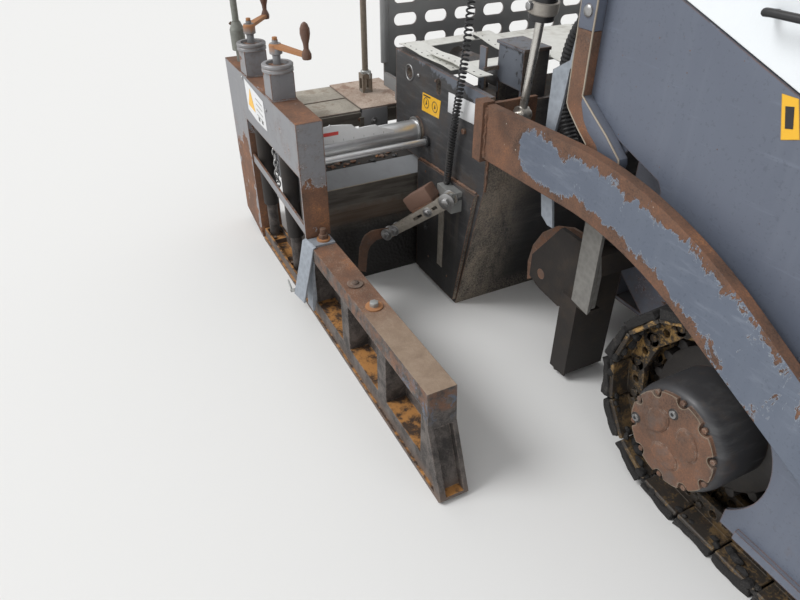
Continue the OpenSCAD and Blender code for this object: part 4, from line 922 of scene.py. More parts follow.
def loopPlace(s, at, r):
    # point on the loop at a distance along it, and the turn of a shoe there
    straight, turn = s["base"], math.pi * r
    rear, z = s["rear"], s["axleZ"]
    if at < straight:
        return Vector((rear + at, 0, z + r)), 0.0
    if at < straight + turn:
        a = (at - straight) / r
        return Vector((rear + straight + r * math.sin(a), 0, z + r * math.cos(a))), a
    if at < 2 * straight + turn:
        return Vector((rear + straight - (at - straight - turn), 0, z - r)), math.pi
    a = (at - 2 * straight - turn) / r + math.pi
    return Vector((rear + r * math.sin(a), 0, z + r * math.cos(a))), a


def makePad(s, pitch, seed):
    half = s["width"] / 2
    pad = block((-pitch * 0.475, -half, 0.000), (pitch * 0.475, half, s["pad"] - 0.002), "rubber", 0.006, 2)
    roughened(roughened(subdivided(pad, 5), 26, 0.0085, seed * 3.1), 95, 0.0028, seed * 7.3)
    for v in pad.data.vertices:
        v.co.z = min(v.co.z, s["pad"] - 0.0006)
        v.co.y = max(-half, min(half, v.co.y))
    return pad


def makeLinks(s, pitch):
    half = s["width"] / 2 - 0.006
    low, high = (-pitch * 0.495, -half, -s["plate"] - 0.001), (pitch * 0.46, half, 0.001)
    parts = [block(low, high, "link", 0.003, 1)]
    low = -s["plate"] - s["link"]
    outline = [(pitch * a, -s["plate"] if b is None else low + b) for a, b in s["outline"]]
    for y in s["linkY"]:
        link = plate(outline, 1, y - 0.011, 0.022, "link", 0.003, 2)
        for a, r in s["holes"]:
            x, z = pitch * a, low + 0.029
            cutBy(link, rod((x, y - 0.03, z), (x, y + 0.03, z), r, "link", 0, 16))
        parts += [link] + bolts("hex", 0.011, "link", outward, (pitch * 0.33, y - 0.011, low + 0.030))
    share, start, end, r = s["pin"]
    x, z = pitch * share, low + 0.026
    parts.append(rod((x, start, z), (x, end, z), r, "link", 0.002, 16))
    return joined(parts)


def makeClumps(s, pitch, seed):
    # asphalt stuck along the outer edge
    half = s["width"] / 2
    lumps = []
    for k in range(s["lumps"]):
        deselect()
        r = random.uniform(*s["lump"])
        x = pitch * random.uniform(-0.48, 0.48)
        y = -half + random.uniform(0.004, 0.050)
        z = random.uniform(-0.018, 0.012)
        bpy.ops.mesh.primitive_ico_sphere_add(subdivisions=2, radius=r, location=(x, y, z))
        lump = bpy.context.object
        lump.scale = (random.uniform(0.9, 1.7), random.uniform(0.7, 1.3), random.uniform(0.6, 1.1))
        lumps.append(roughened(roughened(settle(lump, "rubber"), 60, r * 0.45, seed + k), 200, r * 0.15, k))
    return joined(lumps)


def makeTracks(s):
    r = s["axleZ"] - s["pad"]
    pitch = (2 * s["base"] + 2 * math.pi * r) / s["shoes"]
    seeds = range(s["patterns"])
    pads = [makePad(s, pitch, seed) for seed in seeds]
    chain = makeLinks(s, pitch)
    clumps = [makeClumps(s, pitch, seed) for seed in seeds]
    made = {"trackPads": [], "trackChain": []}
    for k in range(s["shoes"]):
        p, a = loopPlace(s, k * pitch, r)
        spin = Matrix.Translation(p + Vector((0, s["mid"], 0))) @ Matrix.Rotation(a, 4, "Y")
        made["trackPads"] += [copied(pads[(k * 7) % 4], spin), copied(clumps[(k * 5 + k // 3) % 4], spin)]
        made["trackChain"].append(copied(chain, spin))
    for o in pads + clumps + [chain]:
        bpy.data.objects.remove(o, do_unlink=True)
    for name, parts in made.items():
        o = joined(parts)
        for v in o.data.vertices:
            v.co.z = max(v.co.z, 0.0)
        placed([o], name + "*", "tractor", ["track_*"], True, 0.6)


# Fittings of the end gate, which ride on the extension or on the sliding skid

gateLabels = {"face": -1.460, "sheet": 0.0008, "print": 0.0006, "stripes": (4, 0.022),
              "patches": (-2.030, -1.985),
              "label": [(-2.196, 0.790), (-1.935, 0.768), (-1.922, 0.652), (-2.060, 0.650), (-2.185, 0.664)],
              "warning": [(-2.165, 0.690), (-2.120, 0.768), (-2.070, 0.684)],
              "stripe": [(-2.045, 0.752), (-1.960, 0.745), (-1.960, 0.741), (-2.045, 0.748)],
              "patch": [(0, 0.678), (0.020, 0.677), (0.019, 0.663), (0.001, 0.664)]}


def makeGateLabels(s):
    # thin sheets just off the panel
    face, thick = s["face"], s["print"]
    count, step = s["stripes"]
    parts = [plate(s["label"], 1, face - 0.0012, s["sheet"], "label", 0),
             plate(s["warning"], 1, face - 0.0020, s["sheet"], "warning", 0)]
    for k in range(count):
        parts.append(plate(shifted(s["stripe"], 0, -k * step), 1, face - 0.0018, thick, "zinc", 0))
    for x in s["patches"]:
        parts.append(plate(shifted(s["patch"], x, 0), 1, face - 0.0018, thick, "black", 0))
    placed(parts, "gateLabel*", "extension_*")


towers = {"x": (-1.855, -2.200), "y": -1.410, "foot": 0.802, "half": 0.046, "crank": 0.165,
          "bead": (14, 0.005, "gate", 90, 0.003),
          "collar": [(0.030, 0), (0.030, 0.006), (0.014, 0.012), (0, 0.013)]}


def makeGateFasteners(s):
    # screws, weld beads and welded nuts
    y, foot, h = s["y"], s["foot"], s["half"]
    parts = bolts("dome", 0.008, "bare", outward, (-2.228, -1.460, 0.785))
    parts += bolts("dome", 0.007, "bare", outward, (-1.905, -1.461, 0.742))
    for x in s["x"]:
        corners = [(x - h, y - h, foot), (x + h, y - h, foot), (x + h, y + h, foot), (x - h, y + h, foot)]
        parts += [weld(a, b, *s["bead"]) for a, b in zip(corners, corners[1:] + corners[:1])]
        parts += bolts("hex", 0.009, "rustyBolt", upward, (x - 0.020, -1.430, 0.915))
        parts += bolts("hex", 0.009, "orangeRust", upward, (x + 0.022, -1.392, 0.915))
        parts += bolts("hex", 0.010, "orangeRust", upward, (x, y, 1.011))
        parts.append(roughened(lathe(s["collar"], (x, y, 0.914), "rusty", 20), 80, 0.004))
    parts += bolts("hex", 0.008, "rustyBolt", (-0.4, -0.5, 0.6), (-2.433, -1.428, 0.955))
    parts.append(rod((-2.248, -1.4615, 0.030), (-2.262, -1.4615, 0.052), 0.006, "rusty"))
    placed(parts, "gateFasteners*", "extension_*")


windowChain = {"links": 11, "pitch": 0.024, "x": -1.985, "y": -1.425, "top": 0.585, "hook": (0.600, 0.640),
               "sway": 0.004, "wire": 0.0035, "link": (0.0085, 0.0155)}


def makeWindowChain(s):
    # every second link is turned
    parts = []
    wide, high = s["link"]
    for k in range(s["links"]):
        spot = (s["x"] + s["sway"] * math.sin(k * 1.9), s["y"], s["top"] - k * s["pitch"])
        link = ring(spot, wide, 16, forward if k % 2 else inward, high=high)
        parts.append(sweep(link, s["wire"], "bare", 8, True))
    low, high = s["hook"]
    parts.append(rod((s["x"], s["y"], low), (s["x"], s["y"], high), 0.006, "bare"))
    placed(parts, "windowChain*", "extension_*")


# place, washer and its finish, then the bolt: kind, radius, finish and height over the place
skid = {"studs": (((-1.178, -1.415, 0.352), [(0.028, 0), (0.028, 0.004), (0.013, 0.005)], "rusty",
                   "dome", 0.014, "rustyBolt", 0.003),
                  ((-1.026, -1.413, 0.354), [(0.030, 0), (0.029, 0.004), (0.016, 0.005)], "orangeRust",
                   "hex", 0.016, "zinc", 0.004),
                  ((-1.512, -1.402, 0.354), [(0.026, 0), (0.026, 0.007), (0.013, 0.008)], "orangeRust",
                   "hex", 0.019, "rustyBolt", 0.007)),
        "edge": (-2.218, -2.156, -1.899, -1.811), "wingX": -1.640,
        "wing": [(0.004, 0.068), (0.040, 0.092), (0.044, 0.104), (0.026, 0.100), (0.004, 0.086)],
        "face": ((-1.510, -1.452, 0.352), (-1.510, -1.466, 0.348), (-1.514, -1.486, 0.250),
                 (-1.5215, -1.5175, 0.110))}


def makeSkidFasteners(s):
    # skid bolts, bracket bolt, threaded rod and wing nut
    parts = []
    for (x, y, z), profile, under, kind, r, finish, lift in s["studs"]:
        parts.append(lathe(profile, (x, y, z), under, 28))
        parts += bolts(kind, r, finish, upward, (x, y, z + lift))
    parts.append(rod((-1.512, -1.402, 0.375), (-1.512, -1.402, 0.402), 0.012, "rustyBolt"))
    parts.append(rod((-1.640, -1.405, 0.074), (-1.640, -1.520, 0.074), 0.0065, "zinc"))
    parts += bolts("hex", 0.013, "zinc", outward, (-1.640, -1.466, 0.074))
    for way in (-1, 1):
        wing = [(s["wingX"] + way * x, z) for x, z in s["wing"]]
        parts.append(plate(wing, 1, -1.516, 0.005, "zinc", 0.0015))
    parts += bolts("hex", 0.010, "rustyBolt", upward, *[(x, -1.426, 0.036) for x in s["edge"]])
    placed(parts, "skidFasteners*", "gate_*")
    # broad face of the guide bracket, bent down and out from the skid's top
    face = [Vector(v) for v in s["face"]]
    placed([ribbon(face, (0.042, 0.006, 0.0), 0.007, "bracket")], "guideFace*", "gate_*")


# Screed: labels, bolts, welds, scale strip, board, covers and sensor arm

screedSide = {"face": -0.9002,
              "warning": [(-1.662, 0.802), (-1.521, 0.808), (-1.532, 0.737), (-1.668, 0.730)],
              "label": [(-1.466, 0.857), (-1.272, 0.868), (-1.269, 0.796), (-1.467, 0.784)],
              "line": [(-1.655, 0.797), (-1.600, 0.799), (-1.601, 0.794), (-1.656, 0.792)],
              "sign": [(-0.006, -0.009), (0.007, -0.004), (0.001, 0.010)],
              "signs": ((-1.632, 0.769), (-1.565, 0.772)),
              "bolts": (("dome", 0.005, "bare", -1.368, 0.815), ("hex", 0.011, "rustyBolt", -1.345, 0.752),
                        ("dome", 0.008, "bare", -1.700, 0.855), ("hex", 0.006, "rustyBolt", -1.560, 0.872)),
              "plateBolts": ((-1.600, 0.500), (-1.250, 0.490), (-1.560, 0.120), (-1.400, 0.110)),
              "collar": [(0.0535, 0), (0.0535, 0.005), (0.050, 0.0065), (0.0435, 0.0065)],
              "plug": [(0.022, 0), (0.022, 0.012), (0.0165, 0.014)],
              "welds": (((-1.665, -0.903, 0.530), (-1.240, -0.903, 0.553)),
                        ((-1.200, -0.893, 0.575), (-1.200, -0.893, 0.905)))}


def makeScreedSide(s):
    face = s["face"]
    parts = [plate(s["warning"], 1, face - 0.0008, 0.0008, "warning", 0),
             plate(s["label"], 1, face - 0.0014, 0.0014, "label", 0.0003)]
    for x, z in s["signs"]:
        parts.append(sweep(ring((x, face - 0.0010, z), 0.020, 20), 0.0012, "black", 6, True))
        parts.append(plate(shifted(s["sign"], x, z), 1, face - 0.0014, 0.0006, "black", 0))
    parts.append(plate(s["line"], 1, face - 0.0014, 0.0006, "black", 0))
    placed(parts, "screedLabels*", "screed")
    parts = []
    for kind, r, finish, x, z in s["bolts"]:
        parts += bolts(kind, r, finish, outward, (x, face, z))
    parts += bolts("dome", 0.0048, "rustyBolt", outward, *[(x, -0.915, z) for x, z in s["plateBolts"]])
    # worn ring round the hole and tube collar
    parts.append(sweep(ring((-1.775, face - 0.0003, 0.848), 0.030, 28), 0.0030, "bare", 8, True))
    parts.append(lathe(s["collar"], (-1.700, -0.912, 0.640), "bare", 40, outward))
    parts.append(lathe(s["plug"], (-1.615, -0.900, 0.620), "black", 28, outward))
    placed(parts, "screedFasteners*", "screed")
    # weld beads along the wear plate and the front corner
    placed([weld(a, b, 60, 0.0055, "rusty", 60, 0.0035) for a, b in s["welds"]], "screedWelds*", "screed")


scale = {"strip": [(-1.345, 0.668), (-1.163, 0.668), (-1.032, 0.668), (-1.032, 0.679), (-1.091, 0.698),
                   (-1.110, 0.711), (-1.155, 0.711), (-1.187, 0.709), (-1.208, 0.727), (-1.248, 0.733),
                   (-1.291, 0.737), (-1.296, 0.742), (-1.301, 0.736), (-1.345, 0.733)],
         "mark": [(-1.340, 0.699), (-1.265, 0.699), (-1.264, 0.712), (-1.340, 0.713)],
         "ticks": 7, "tick": 0.042,
         "hold": (-1.650, 1.370, 0.69), "keep": 0.01}


def makeScaleStrip(s):
    # torn strip on the extension above the tube
    parts = [plate(s["strip"], 0, -1.655, 0.007, "label", 0.001),
             plate(s["mark"], 0, -1.6485, 0.001, "red", 0)]
    for k in range(s["ticks"]):
        y = k * s["tick"]
        parts.append(block((-1.6485, -1.330 + y, 0.672), (-1.6475, -1.3285 + y, 0.680), "zinc", 0))
    parts.append(block((-1.662, -1.358, 0.655), (-1.640, -1.338, 0.720), "bare", 0.002))
    x, y, z = s["hold"]
    for piece, way, at in zip(placed(parts, "scaleStrip*", "extension_*"), ("right", "left"), (-y, y)):
        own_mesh(piece)


extensionEdges = {"worn": ((-1.7055, -1.358, 0.450), (-1.7055, -0.929, 0.450), 30, 0.0020,
                           "wornRim", 30, 0.0006),
                  "board": ((-2.452, -0.990, 0.6195), (-2.066, -0.724, 0.6275)),
                  "front": ((-2.070, -0.990, 0.532), (-2.062, -0.862, 0.622)),
                  "trim": ((-2.076, -0.992, 0.612), (-2.060, -0.990, 0.628)), "bolt": (-2.062, -0.930, 0.565)}


def makeExtensionEdges(s):
    # worn front edge of the extension box, a light bead that is also a painted highlight along the edge
    placed([weld(*s["worn"])], "boxEdge*", "extension_*")
    # brown board on the inner part of the walkway, with the box that closes its front
    board = block(*s["board"], "boardBrown", 0.0015)
    parts = [roughened(subdivided(board, 3), 9, 0.0012), block(*s["front"], "cap", 0.002),
             block(*s["trim"], "black", 0)]
    parts += bolts("washer", 0.008, "bare", forward, s["bolt"])
    placed(parts, "innerBoard*", "extension_*")


# low corner, high corner, lift, wave height, wave count and screws of each sheet
covers = {"sheets": (((-1.885, -0.892), (-1.470, -0.800), 0.9220, 0.010, 1.6, 9),
                     ((-1.885, -0.560), (-1.455, -0.470), 0.9210, 0.009, 1.2, 9),
                     ((-1.885, -0.802), (-1.800, -0.556), 0.9215, 0.007, 0.8, 0),
                     ((-1.545, -0.802), (-1.440, -0.556), 0.9200, 0.008, 1.1, 0),
                     ((-1.690, -0.880), (-1.305, -0.826), 0.9390, 0.011, 1.3, 9),
                     ((-1.880, -0.458), (-1.232, -0.042), 0.9200, 0.004, 1.0, 0)),
          "thick": 0.0028, "grid": (48, 16), "edge": 0.020, "screwRow": 0.018, "screw": 0.0035}


def makeCovers(s):
    parts = []
    nx, ny = s["grid"]
    for n, (a, b, z, high, count, screws) in enumerate(s["sheets"]):

        def wave(x, y):
            turn = 2 * math.pi * count * (x - a[0]) / (b[0] - a[0]) + n
            return high * math.sin(turn) * (0.6 + 0.4 * math.sin(9 * y)) + high

        deselect()
        middle = ((a[0] + b[0]) / 2, (a[1] + b[1]) / 2, z)
        bpy.ops.mesh.primitive_grid_add(x_subdivisions=nx, y_subdivisions=ny, size=1, location=middle)
        o = bpy.context.object
        o.scale = (b[0] - a[0], b[1] - a[1], 1)
        settle(o, "dirtyWhite")
        for v in o.data.vertices:
            v.co.z += wave(v.co.x, v.co.y)
            v.co.y += 0.006 * noise.noise(v.co * 11 + Vector((n, 0, 0)))
        parts.append(modified(o, "SOLIDIFY", thickness=s["thick"], offset=0))
        y = a[1] + s["screwRow"]
        for k in range(screws):
            x = a[0] + s["edge"] + k * (b[0] - a[0] - 2 * s["edge"]) / (screws - 1)
            h = z + wave(x, y)
            parts.append(rod((x, y, h - 0.001), (x, y, h + 0.002), s["screw"], "black", 0, 10))
    placed(parts, "screedCover*", "screed", ["screed_covers"])


sensor = {"pivot": (-1.325, -0.968, 0.505), "end": (-1.545, -1.120, 0.290), "bars": (-0.013, 0.013),
          "slots": ((0.050, 0.075), (0.130, 0.175)), "hold": (-1.325, 0.910, 0.50), "keep": 0.02,
          "hook": [(-1.105, 0.313), (-1.167, 0.321), (-1.189, 0.320), (-1.213, 0.304), (-1.222, 0.278),
                   (-1.227, 0.231), (-1.222, 0.180), (-1.213, 0.085), (-1.171, 0.056), (-1.181, 0.152),
                   (-1.183, 0.198), (-1.179, 0.227), (-1.156, 0.256), (-1.105, 0.261)],
          "lean": (-1.56, 0.42, 0.287), "coil": (0.009, 75, 96),
          "spring": ((0.140, 0.030, 0.020), (0.165, 0.010, -0.055)),
          "strap": ((-1.480, -0.9185, 0.130), (-1.440, -0.9148, 0.470))}


def makeSensorArm(s):
    # slotted arm with its pivot, box, hooked bar and spring
    pivot, end = Vector(s["pivot"]), Vector(s["end"])
    d = (end - pivot).normalized()
    side = d.cross(Vector(upward)).normalized()
    local = Matrix.Translation(pivot) @ Matrix((d, side, side.cross(d).normalized())).transposed().to_4x4()
    length = (end - pivot).length
    tip = length + 0.014
    outline = [(-0.028, -0.010), (-0.020, -0.024), (0.020, -0.026), (length, -0.020), (tip, -0.008),
               (tip, 0.010), (length, 0.018), (0.020, 0.026), (-0.020, 0.024), (-0.028, 0.012)]
    parts = []
    for off in s["bars"]:
        arm = plate(outline, 1, off - 0.0025, 0.005, "sensorSteel", 0.0012)
        for x0, x1 in s["slots"]:
            cutBy(arm, block((x0, off - 0.01, -0.006), (x1, off + 0.01, 0.006), "zinc", 0))
        parts.append(arm)
    for x, r in ((0.0, 0.017), (0.100, 0.010), (length - 0.055, 0.012), (length - 0.010, 0.013)):
        parts.append(rod((x, -0.021, 0), (x, 0.020, 0), r * 0.55, "bare", 0.001, 16))
        parts += bolts("washer", r, "bare", inward, (x, 0.0155, 0))
        parts += bolts("washer", r, "bare", outward, (x, -0.0155, 0))
    parts.append(block((0.055, -0.010, 0.030), (0.175, 0.060, 0.088), "cover", 0.006))
    parts.append(block((0.060, -0.008, 0.020), (0.170, 0.050, 0.032), "rusty", 0.002))
    for p in parts:
        p.data.transform(local)
    # flat bar cut to a hook, leaning back from the arm's end down to the paving
    hook = plate(s["hook"], 0, -0.003, 0.006, "rusty", 0.001)
    x, lean, z = s["lean"]
    for v in hook.data.vertices:
        v.co.x += x - lean * (z - v.co.z)
    # small tension spring under the box
    a, b = [local @ Vector(p) for p in s["spring"]]
    r, turn, n = s["coil"]
    spring = []
    for k in range(n + 1):
        t = k / n
        spring.append(a.lerp(b, t) + r * Vector((math.cos(t * turn), math.sin(t * turn), 0)))
    parts += [hook, sweep(spring, 0.0016, "black", 6)]
    parts.append(rod(pivot + Vector((0, 0.053, 0)), pivot + Vector((0, -0.002, 0)), 0.012, "bare"))
    x, y, z = s["hold"]
    for piece, way, at in zip(placed(parts, "sensorArm*", "screed"), ("right", "left"), (-y, y)):
        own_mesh(piece)
    # carrier strap down the wear plate
    placed([block(*s["strap"], "sensorSteel", 0.0006)], "sensorStrap*", "screed")


# Fittings of the tractor

drive = {"x": -0.175, "z": 0.330, "face": -0.966, "cover": 0.134, "thick": 0.020, "bolts": 10, "notch": 0.016,
         "drumBase": -0.795, "disc": 0.205, "discThick": 0.040, "hub": 0.110, "hubEnd": -0.620,
         "drum": ((0.150, 0), (0.150, 0.128), (0.1475, 0.142), (0.141, 0.153), (0.134, 0.158),
                  (0.120, 0.159)),
         "teeth": 18, "tooth": (0.198, 0.227, 0.014),
         "lobes": (90, 210, 330), "lobe": 0.058, "lobeSize": (0.028, 0.042),
         "sockets": ((-0.187, 0.414), (-0.290, 0.311)),
         "socket": (([(0.0150, 0), (0.0150, 0.002), (0.0120, 0.003)], "cast", 28),
                    ([(0.0105, 0), (0.0105, 0.005), (0.0055, 0.005)], "bare", 28),
                    ([(0.0050, 0), (0.0050, 0.0055), (0.0, 0.0055)], "black", 16))}


def notchedRim(s):
    # circle of the cover with a round notch for each bolt
    c = s["cover"] - 0.003
    out = []
    for k in range(300):
        a = 2 * math.pi * k / 300
        r = s["cover"]
        for b in range(s["bolts"]):
            d = a - 2 * math.pi * (b + 0.5) / s["bolts"]
            off = c * math.sin(d)
            if abs(off) < s["notch"] and math.cos(d) > 0:
                r = min(r, c * math.cos(d) - math.sqrt(s["notch"] ** 2 - off ** 2))
        out.append((s["x"] + r * math.cos(a), s["z"] + r * math.sin(a)))
    return out


def makeFinalDrive(s):
    x, z, face, inner = s["x"], s["z"], s["face"], s["drumBase"]
    rim = notchedRim(s)
    # the thin bead round the cover's notched edge is worn metal and a painted highlight line
    parts = [lathe(s["drum"], (x, inner, z), "drum", 72, outward),
             plate(rim, 1, face + s["thick"], -s["thick"], "driveRust", 0.0018),
             sweep([(a, face + 0.0010, b) for a, b in rim[::2]], 0.0011, "dullRim", 6, True)]
    heads = ring((x, face + 0.009, z), s["cover"] - 0.004, s["bolts"], start=180 / s["bolts"])
    parts += bolts("hex", 0.0080, "driveRust", outward, *heads)
    # socket heads: a cast washer, a bare ring and a black disc that is painted shade in the socket's hole
    for a, b in s["sockets"]:
        for profile, finish, sides in s["socket"]:
            parts.append(lathe(profile, (a, face, b), finish, sides, outward))
    # cast lobes, each a low crowned island with a ridge round it
    wide, high = s["lobeSize"]
    for turn in s["lobes"]:
        c, t = math.cos(math.radians(-turn)), math.sin(math.radians(-turn))
        middle = (x + s["lobe"] * c, face - 0.0008, z + s["lobe"] * t)
        edge = ring(middle, wide, 40, (c, 0, t), (-t, 0, c), high=high)
        parts.append(plate([(p.x, p.z) for p in edge], 1, face + 0.001, -0.0085, "driveRust", 0.005, 3))
        parts.append(sweep(edge, 0.0036, "driveRust", 8, True))
    # toothed disc inside the track and the hub in to the frame
    mid = inner + s["discThick"]
    parts.append(rod((x, inner, z), (x, mid, z), s["disc"], "cast", 0.003, 72))
    parts.append(rod((x, mid, z), (x, s["hubEnd"], z), s["hub"], "cast", 0.003, 48))
    low, high, half = s["tooth"]
    edge, flat = high - 0.010, half * 0.4
    outline = [(low, -half), (edge, -half), (high, -flat), (high, flat), (edge, half), (low, half)]
    for k in range(s["teeth"]):
        tooth = plate(outline, 1, inner, s["discThick"], "cast", 0.002)
        turn = Matrix.Rotation(math.radians(360 / s["teeth"] * k), 4, "Y")
        tooth.data.transform(Matrix.Translation((x, 0, z)) @ turn)
        parts.append(tooth)
    placed(parts, "finalDrive*", "tractor", ["final_drives"])


frameBolts = {"first": 0.245, "step": 0.26, "rollers": 5, "idler": (1.775, 0.330),
              "cap": [(0.050, -0.001), (0.050, 0.006), (0.030, 0.014), (0.0, 0.015)]}


def makeWheelFittings(s):
    # rollers' hubs and the idler's tensioner on the track frame
    spots = [(s["first"] + s["step"] * k, -0.882, 0.143) for k in range(s["rollers"])]
    parts = bolts("hex", 0.016, "rustyBolt", outward, *spots)
    x, z = s["idler"]
    parts.append(lathe(s["cap"], (x, -0.884, z), "cast", 36, outward))
    parts += bolts("hex", 0.007, "rustyBolt", outward, *ring((x, -0.8885, z), 0.042, 6, start=15))
    placed(parts, "frameBolts*", "tractor")


lift = {"pin": (-1.006, -0.850, 1.500), "way": (-0.1363, 0, -0.9907), "bore": 0.0136, "ports": (0.060, 0.285),
        "gland": [(0.0385, -0.050), (0.0445, -0.048), (0.0450, -0.032), (0.0450, -0.018), (0.0400, -0.014),
                  (0.0350, -0.012), (0.0340, -0.002), (0.0150, 0.000)],
        "cap": [(0.019, -0.001), (0.019, 0.010), (0.016, 0.014), (0.0, 0.014)],
        "keeper": [(-1.030, 1.462), (-0.982, 1.462), (-0.982, 1.478), (-1.030, 1.478)]}


def makeLiftCylinder(s):
    pin, way = Vector(s["pin"]), Vector(s["way"])
    d = way.normalized()
    # bored for the rod, like the barrel under it
    gland = lathe(s["gland"], pin + way * 0.322, "gland", 40, d)
    parts = [cutBy(gland, rod(pin + way * 0.262, pin + way * 0.332, s["bore"], "gland", 0, 40))]
    for t in s["ports"]:
        a = pin + way * t
        parts.append(rod(a + Vector((0, -0.030, 0)), a + Vector((0, -0.056, 0)), 0.013, "bare", 0.002, 6))
    bead = sweep(ring(pin + way * 0.030, 0.0385, 36, (-d.z, 0, d.x), inward), 0.004, "black", 8, True)
    parts.append(roughened(bead, 80, 0.002))
    placed(parts, "liftGland*", "lift_barrel_*")
    # end of the upper pin with its keeper plate
    x, z, y = pin.x, pin.z, -0.906
    parts = [lathe(s["cap"], (x, y, z), "bare", 28, outward), plate(s["keeper"], 1, y, -0.006, "bare", 0.001)]
    parts += bolts("hex", 0.006, "bare", outward, (-1.020, y - 0.006, 1.470))
    placed(parts, "liftPinEnds*", "tractor")


edgeStrip = {"back": -0.8805, "thick": 0.0305, "recess": 0.0012, "rim": 0.0024, "bolt": (-0.786, 1.252),
             "head": [(0.015, 0), (0.015, 0.004), (0.010, 0.008), (0.0, 0.009)],
             "top": [(-0.818, 1.375), (-0.818, 1.207), (-0.759, 1.207), (-0.755, 1.375)],
             "bare": [(-0.818, 1.206), (-0.819, 1.041), (-0.819, 1.013), (-0.810, 0.999), (-0.763, 0.959),
                      (-0.718, 0.926), (-0.661, 0.890), (-0.651, 0.893), (-0.657, 0.906), (-0.682, 0.939),
                      (-0.721, 0.963), (-0.743, 0.986), (-0.762, 1.028), (-0.760, 1.049), (-0.759, 1.206)],
             "slant": [(-0.760, 1.047), (-0.761, 1.028), (-0.742, 0.986), (-0.720, 0.963), (-0.681, 0.939),
                       (-0.656, 0.906), (-0.650, 0.893), (-0.592, 0.896), (-0.587, 0.916), (-0.591, 0.931),
                       (-0.649, 0.975), (-0.706, 1.011)],
             "corner": [(-0.759, 1.071), (-0.760, 1.047)]}


def makeEdgeStrip(s):
    # folded strip on the panel's rear edge: painted at its ends, bare rust between, with a worn rim whose
    # light colour is also a painted highlight
    back, thick, recess = s["back"], s["thick"], s["recess"]
    face = back - thick
    right = [s["top"][3], s["top"][2]] + s["corner"] + s["slant"][:-6:-1]
    left = s["top"][:2] + s["bare"][1:6]
    x, z = s["bolt"]
    parts = [plate(s["top"], 1, back, -thick, "panel", 0.0012),
             plate(s["bare"], 1, back, recess - thick, "stripRust", 0.0008),
             plate(s["slant"], 1, back, -thick, "panel", 0.0012),
             sweep([(a, face, b) for a, b in right], s["rim"], "wornRim", 8),
             sweep([(a, face + recess, b) for a, b in left], s["rim"] * 0.7, "wornRim", 8),
             lathe(s["head"], (x, face, z), "bare", 28, outward)]
    placed(parts, "edgeStrip*", "tractor")


panel = {"bolts": ((0.0, 1.165), (0.5, 1.165), (1.0, 1.165), (0.0, 0.70), (0.5, 0.70)),
         "label": [(-0.240, 1.196), (-0.203, 1.196), (-0.174, 1.125), (-0.211, 1.112)],
         "print": [(-0.224, 1.176), (-0.206, 1.180), (-0.194, 1.140), (-0.210, 1.136)],
         "latches": (-0.050, 0.095), "latch": [(0.016, 0), (0.016, 0.004), (0.012, 0.006), (0.0, 0.006)],
         "slot": [(-0.003, 1.234), (0.003, 1.234), (0.003, 1.256), (-0.003, 1.256)],
         "handle": [(-0.30, -0.878, 1.330), (-0.30, -0.915, 1.335), (-0.28, -0.922, 1.338),
                    (-0.16, -0.922, 1.338), (-0.14, -0.915, 1.335), (-0.14, -0.878, 1.330)]}


def makePanelFittings(s):
    parts = bolts("dome", 0.010, "panel", outward, *[(x, -0.880, z) for x, z in s["bolts"]])
    placed(parts, "panelBolts*", "tractor")
    parts = [plate(s["label"], 1, -0.8800, -0.0010, "warning", 0),
             plate(s["print"], 1, -0.8810, -0.0006, "black", 0)]
    placed(parts, "panelLabel*", "tractor")
    # quarter-turn latches along the lower edge of the side cover, and its grab handle
    parts = []
    for x in s["latches"]:
        parts.append(lathe(s["latch"], (x, -0.880, 1.245), "black", 28, outward))
        parts.append(plate(shifted(s["slot"], x, 0), 1, -0.886, -0.003, "zinc", 0.0006))
    parts.append(sweep(smoothPath(s["handle"], 6), 0.008, "black", 12))
    placed(parts, "coverLatches*", "tractor")


hood = {"hinges": (0.30, 0.95), "feet": (0.545, 0.755), "foot": [(0.020, 0), (0.020, 0.003), (0.012, 0.005)],
        "handle": [(0.55, -0.878, 1.520), (0.55, -0.918, 1.522), (0.57, -0.925, 1.523), (0.73, -0.925, 1.523),
                   (0.75, -0.918, 1.522), (0.75, -0.878, 1.520)],
        "bars": (12, 0.0945), "capAt": (0.420, -0.300), "grips": 12,
        "cap": [(0.045, 0), (0.045, 0.006), (0.036, 0.012), (0.036, 0.034), (0.030, 0.040), (0.0, 0.040)]}


def makeHoodFittings(s):
    parts = []
    for x in s["hinges"]:
        parts.append(block((x, -0.886, 1.235), (x + 0.055, -0.880, 1.275), "black", 0.002))
        parts.append(rod((x + 0.010, -0.888, 1.255), (x + 0.045, -0.888, 1.255), 0.006, "bare", 0.001, 14))
    parts.append(sweep(smoothPath(s["handle"], 6), 0.009, "black", 12))
    parts += [lathe(s["foot"], (x, -0.880, 1.520), "black", 24, outward) for x in s["feet"]]
    placed(parts, "hoodHandle*", "hood")
    # radiator screen behind the front slots and a filler cap
    parts = []
    count, step = s["bars"]
    for k in range(count):
        y = -0.520 + k * step
        parts.append(rod((1.088, y, 1.280), (1.088, y, 1.480), 0.003, "black", 0, 8))
    parts.append(lathe(s["cap"], (*s["capAt"], 1.600), "black", 40))
    for p in ring((*s["capAt"], 1.613), 0.036, s["grips"], v=inward):
        parts.append(rod(p, p + Vector((0, 0, 0.021)), 0.004, "black", 0.001, 8))
    placed(parts, "hoodScreen", "hood", both=False)


towArm = {"weld": ((-1.1325, -0.957, 0.745), (-1.1325, -0.957, 0.910), 30, 0.006, "rusty", 70, 0.004),
          "pin": (1.000, -1.000, 0.402), "cap": [(0.040, 0), (0.040, 0.006), (0.033, 0.012), (0.0, 0.013)]}


def makeArmFittings(s):
    # weld down the flange at the arm's rear end, and the cap of its front pin
    placed([weld(*s["weld"])], "armWeld*", "screed")
    placed([lathe(s["cap"], s["pin"], "rusty", 36, outward)], "towPinCap*", "tractor")


